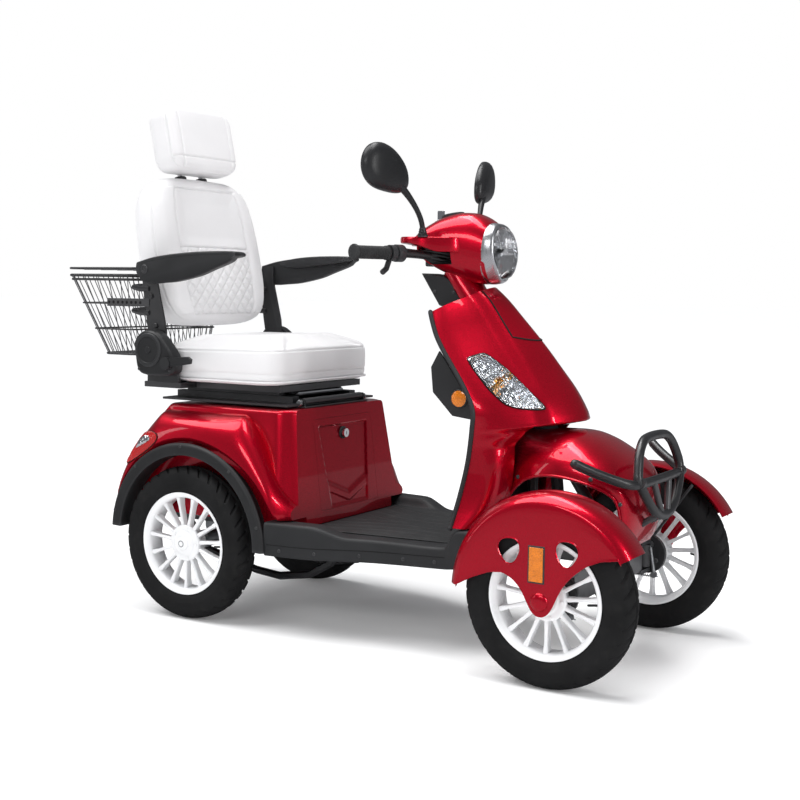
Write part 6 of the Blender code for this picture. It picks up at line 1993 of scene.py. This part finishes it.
def make_handlebar():
    path = [(x, -y, z) for x, y, z in BAR_HALF_PATH] + list(reversed(BAR_HALF_PATH))
    bar = Bundle()
    bar.tube(round_path(path, 8), 0.01, 24)
    bar.disc(steer_place(-0.026), -STEER_AXIS, [(0.019, 0.0), (0.021, 0.002), (0.021, 0.044),
        (0.019, 0.0465)], 32)
    bar.make("handlebar_tube", STEEL_BLACK, "steering", replaces="handlebar")
    for side_name, side in SIDES:
        last = 0.72 if side < 0 else 0.8
        length = (bar_place(-0.035, side) - bar_place(last, side)).length
        profile = [(0.012, -0.002), (0.0185, 0.0), (0.0195, 0.002), (0.0195, 0.006), (0.018, 0.0075),
            (0.015, 0.0085)]
        place = 0.011
        while place < length - 0.012:
            profile += [(0.015, place), (0.0163, place + 0.0012), (0.0163, place + 0.003),
                (0.015, place + 0.0042)]
            place += 0.0056
        profile += [(0.015, length - 0.009), (0.0178, length - 0.007), (0.018, length - 0.002),
            (0.0165, length), (0.0112, length)]
        discs(f"grip_{side_name}_rubber", RUBBER, "steering", [bar_place(-0.035, side)],
            -bar_direction(side), profile, replaces=f"grip_{side_name}", angle=40.0)
    refined("brake_perch", PLASTIC, 0.0014, 2, 30.0)
    refined("throttle", PLASTIC, 0.0012, 2, 30.0, "thumb_throttle")
    discs("switch_housing", PLASTIC, "steering", [bar_place(0.875, RIGHT)], -bar_direction(RIGHT),
        [(0.017, 0.0), (0.0215, 0.002), (0.0215, 0.023), (0.019, 0.026), (0.0115, 0.0265)])
    lever = Bundle()
    rings = []
    path = densify([(0.268, 0.124, 0.973), (0.2665, 0.15, 0.973), (0.265, 0.18, 0.973),
        (0.246, 0.238, 0.973), (0.2285, 0.292, 0.973), (0.2245, 0.312, 0.973)], 6, 0.45)
    spots = [Vector(point) for point in path]
    for index, spot in enumerate(spots):
        along = (spots[min(index + 1, len(spots) - 1)] - spots[max(index - 1, 0)]).normalized()
        across = Vector((along.y, -along.x, 0.0))
        share = index / (len(spots) - 1)
        wide = lerp(0.0072, 0.005, share) + 0.0022 * ease(share, 0.93, 1.0)
        tall = lerp(0.006, 0.0034, ease(share, 0.0, 0.4)) + 0.0022 * ease(share, 0.93, 1.0)
        rings.append([spot + across * wide * math.cos(turn) + Vector((0.0, 0.0, tall * math.sin(turn)))
            for turn in circle(16)])
    lever.loft(rings)
    lever.disc((0.268, 0.122, 0.966), UP, [(0.0086, 0.0), (0.01, 0.001), (0.01, 0.013), (0.0086, 0.014)],
        28)
    lever.make("brake_blade", SILVER, "brake_lever", replaces="brake_lever", angle=50.0)


MIRROR_CENTRE = Vector((0.218, -0.253, 1.176))
MIRROR_STEM = [(0.255, -0.14, 1.0172), (0.256, -0.144, 1.046), (0.252, -0.16, 1.078),
    (0.242, -0.186, 1.112), (0.233, -0.212, 1.136), (0.228, -0.232, 1.152)]


def mirror_ring(depth, share, columns=56):
    turned = Matrix.Rotation(math.radians(-14.0), 3, "Z") @ Matrix.Rotation(math.radians(-18.0), 3, "X")
    ring = []
    for turn in circle(columns):
        wide = 0.076 * math.cos(turn)
        tall = 0.054 * math.sin(turn) * (1.0 - 0.22 * math.cos(turn))
        tail = 1.0 + 0.2 * max(math.cos(turn + math.radians(38.0)), 0.0) ** 7
        ring.append(MIRROR_CENTRE + turned @ Vector((depth, wide * share * tail, tall * share * tail)))
    return ring


def make_mirror(side_name, side):
    def placed(points):
        return [Vector((point.x, -side * point.y, point.z)) for point in (Vector(p) for p in points)]

    shell = Bundle()
    rings = [placed(mirror_ring(depth, share)) for depth, share in ((-0.0075, 0.925), (-0.012, 0.93),
        (-0.0125, 0.965), (-0.011, 0.992), (-0.007, 1.0), (-0.001, 0.99), (0.005, 0.945), (0.0105, 0.86),
        (0.015, 0.73), (0.0178, 0.56), (0.0192, 0.36), (0.0198, 0.12))]
    shell.loft(rings)
    stem = placed(round_path(MIRROR_STEM, 8))
    radii = [lerp(0.0066, 0.0105, ease(index / (len(stem) - 1), 0.35, 1.0)) for index in range(len(stem))]
    shell.loft(tube_rings(stem, radii, 20))
    foot = placed([MIRROR_STEM[0], MIRROR_STEM[1]])
    shell.disc(foot[0], foot[1] - foot[0], [(0.0135, 0.0), (0.0135, 0.003), (0.0115, 0.005),
        (0.0115, 0.008), (0.01, 0.0095), (0.0105, 0.0125), (0.0088, 0.0145), (0.0092, 0.0175),
        (0.0072, 0.022)], 28)
    body = f"mirror_{side_name}"
    shell.make(f"mirror_case_{side_name}", MIRROR_BLACK, body, replaces=body, angle=50.0)
    glass = [placed(mirror_ring(depth, share)) for depth, share in ((-0.0078, 0.9), (-0.011, 0.915),
        (-0.0116, 0.905), (-0.0118, 0.5), (-0.0118, 0.1))]
    loft_piece(f"mirror_glass_{side_name}", glass, MIRROR, body, angle=40.0)


make_head_cover()
make_key_and_column()
make_headlight()
make_handlebar()
for side_name, side in SIDES:
    make_mirror(side_name, side)
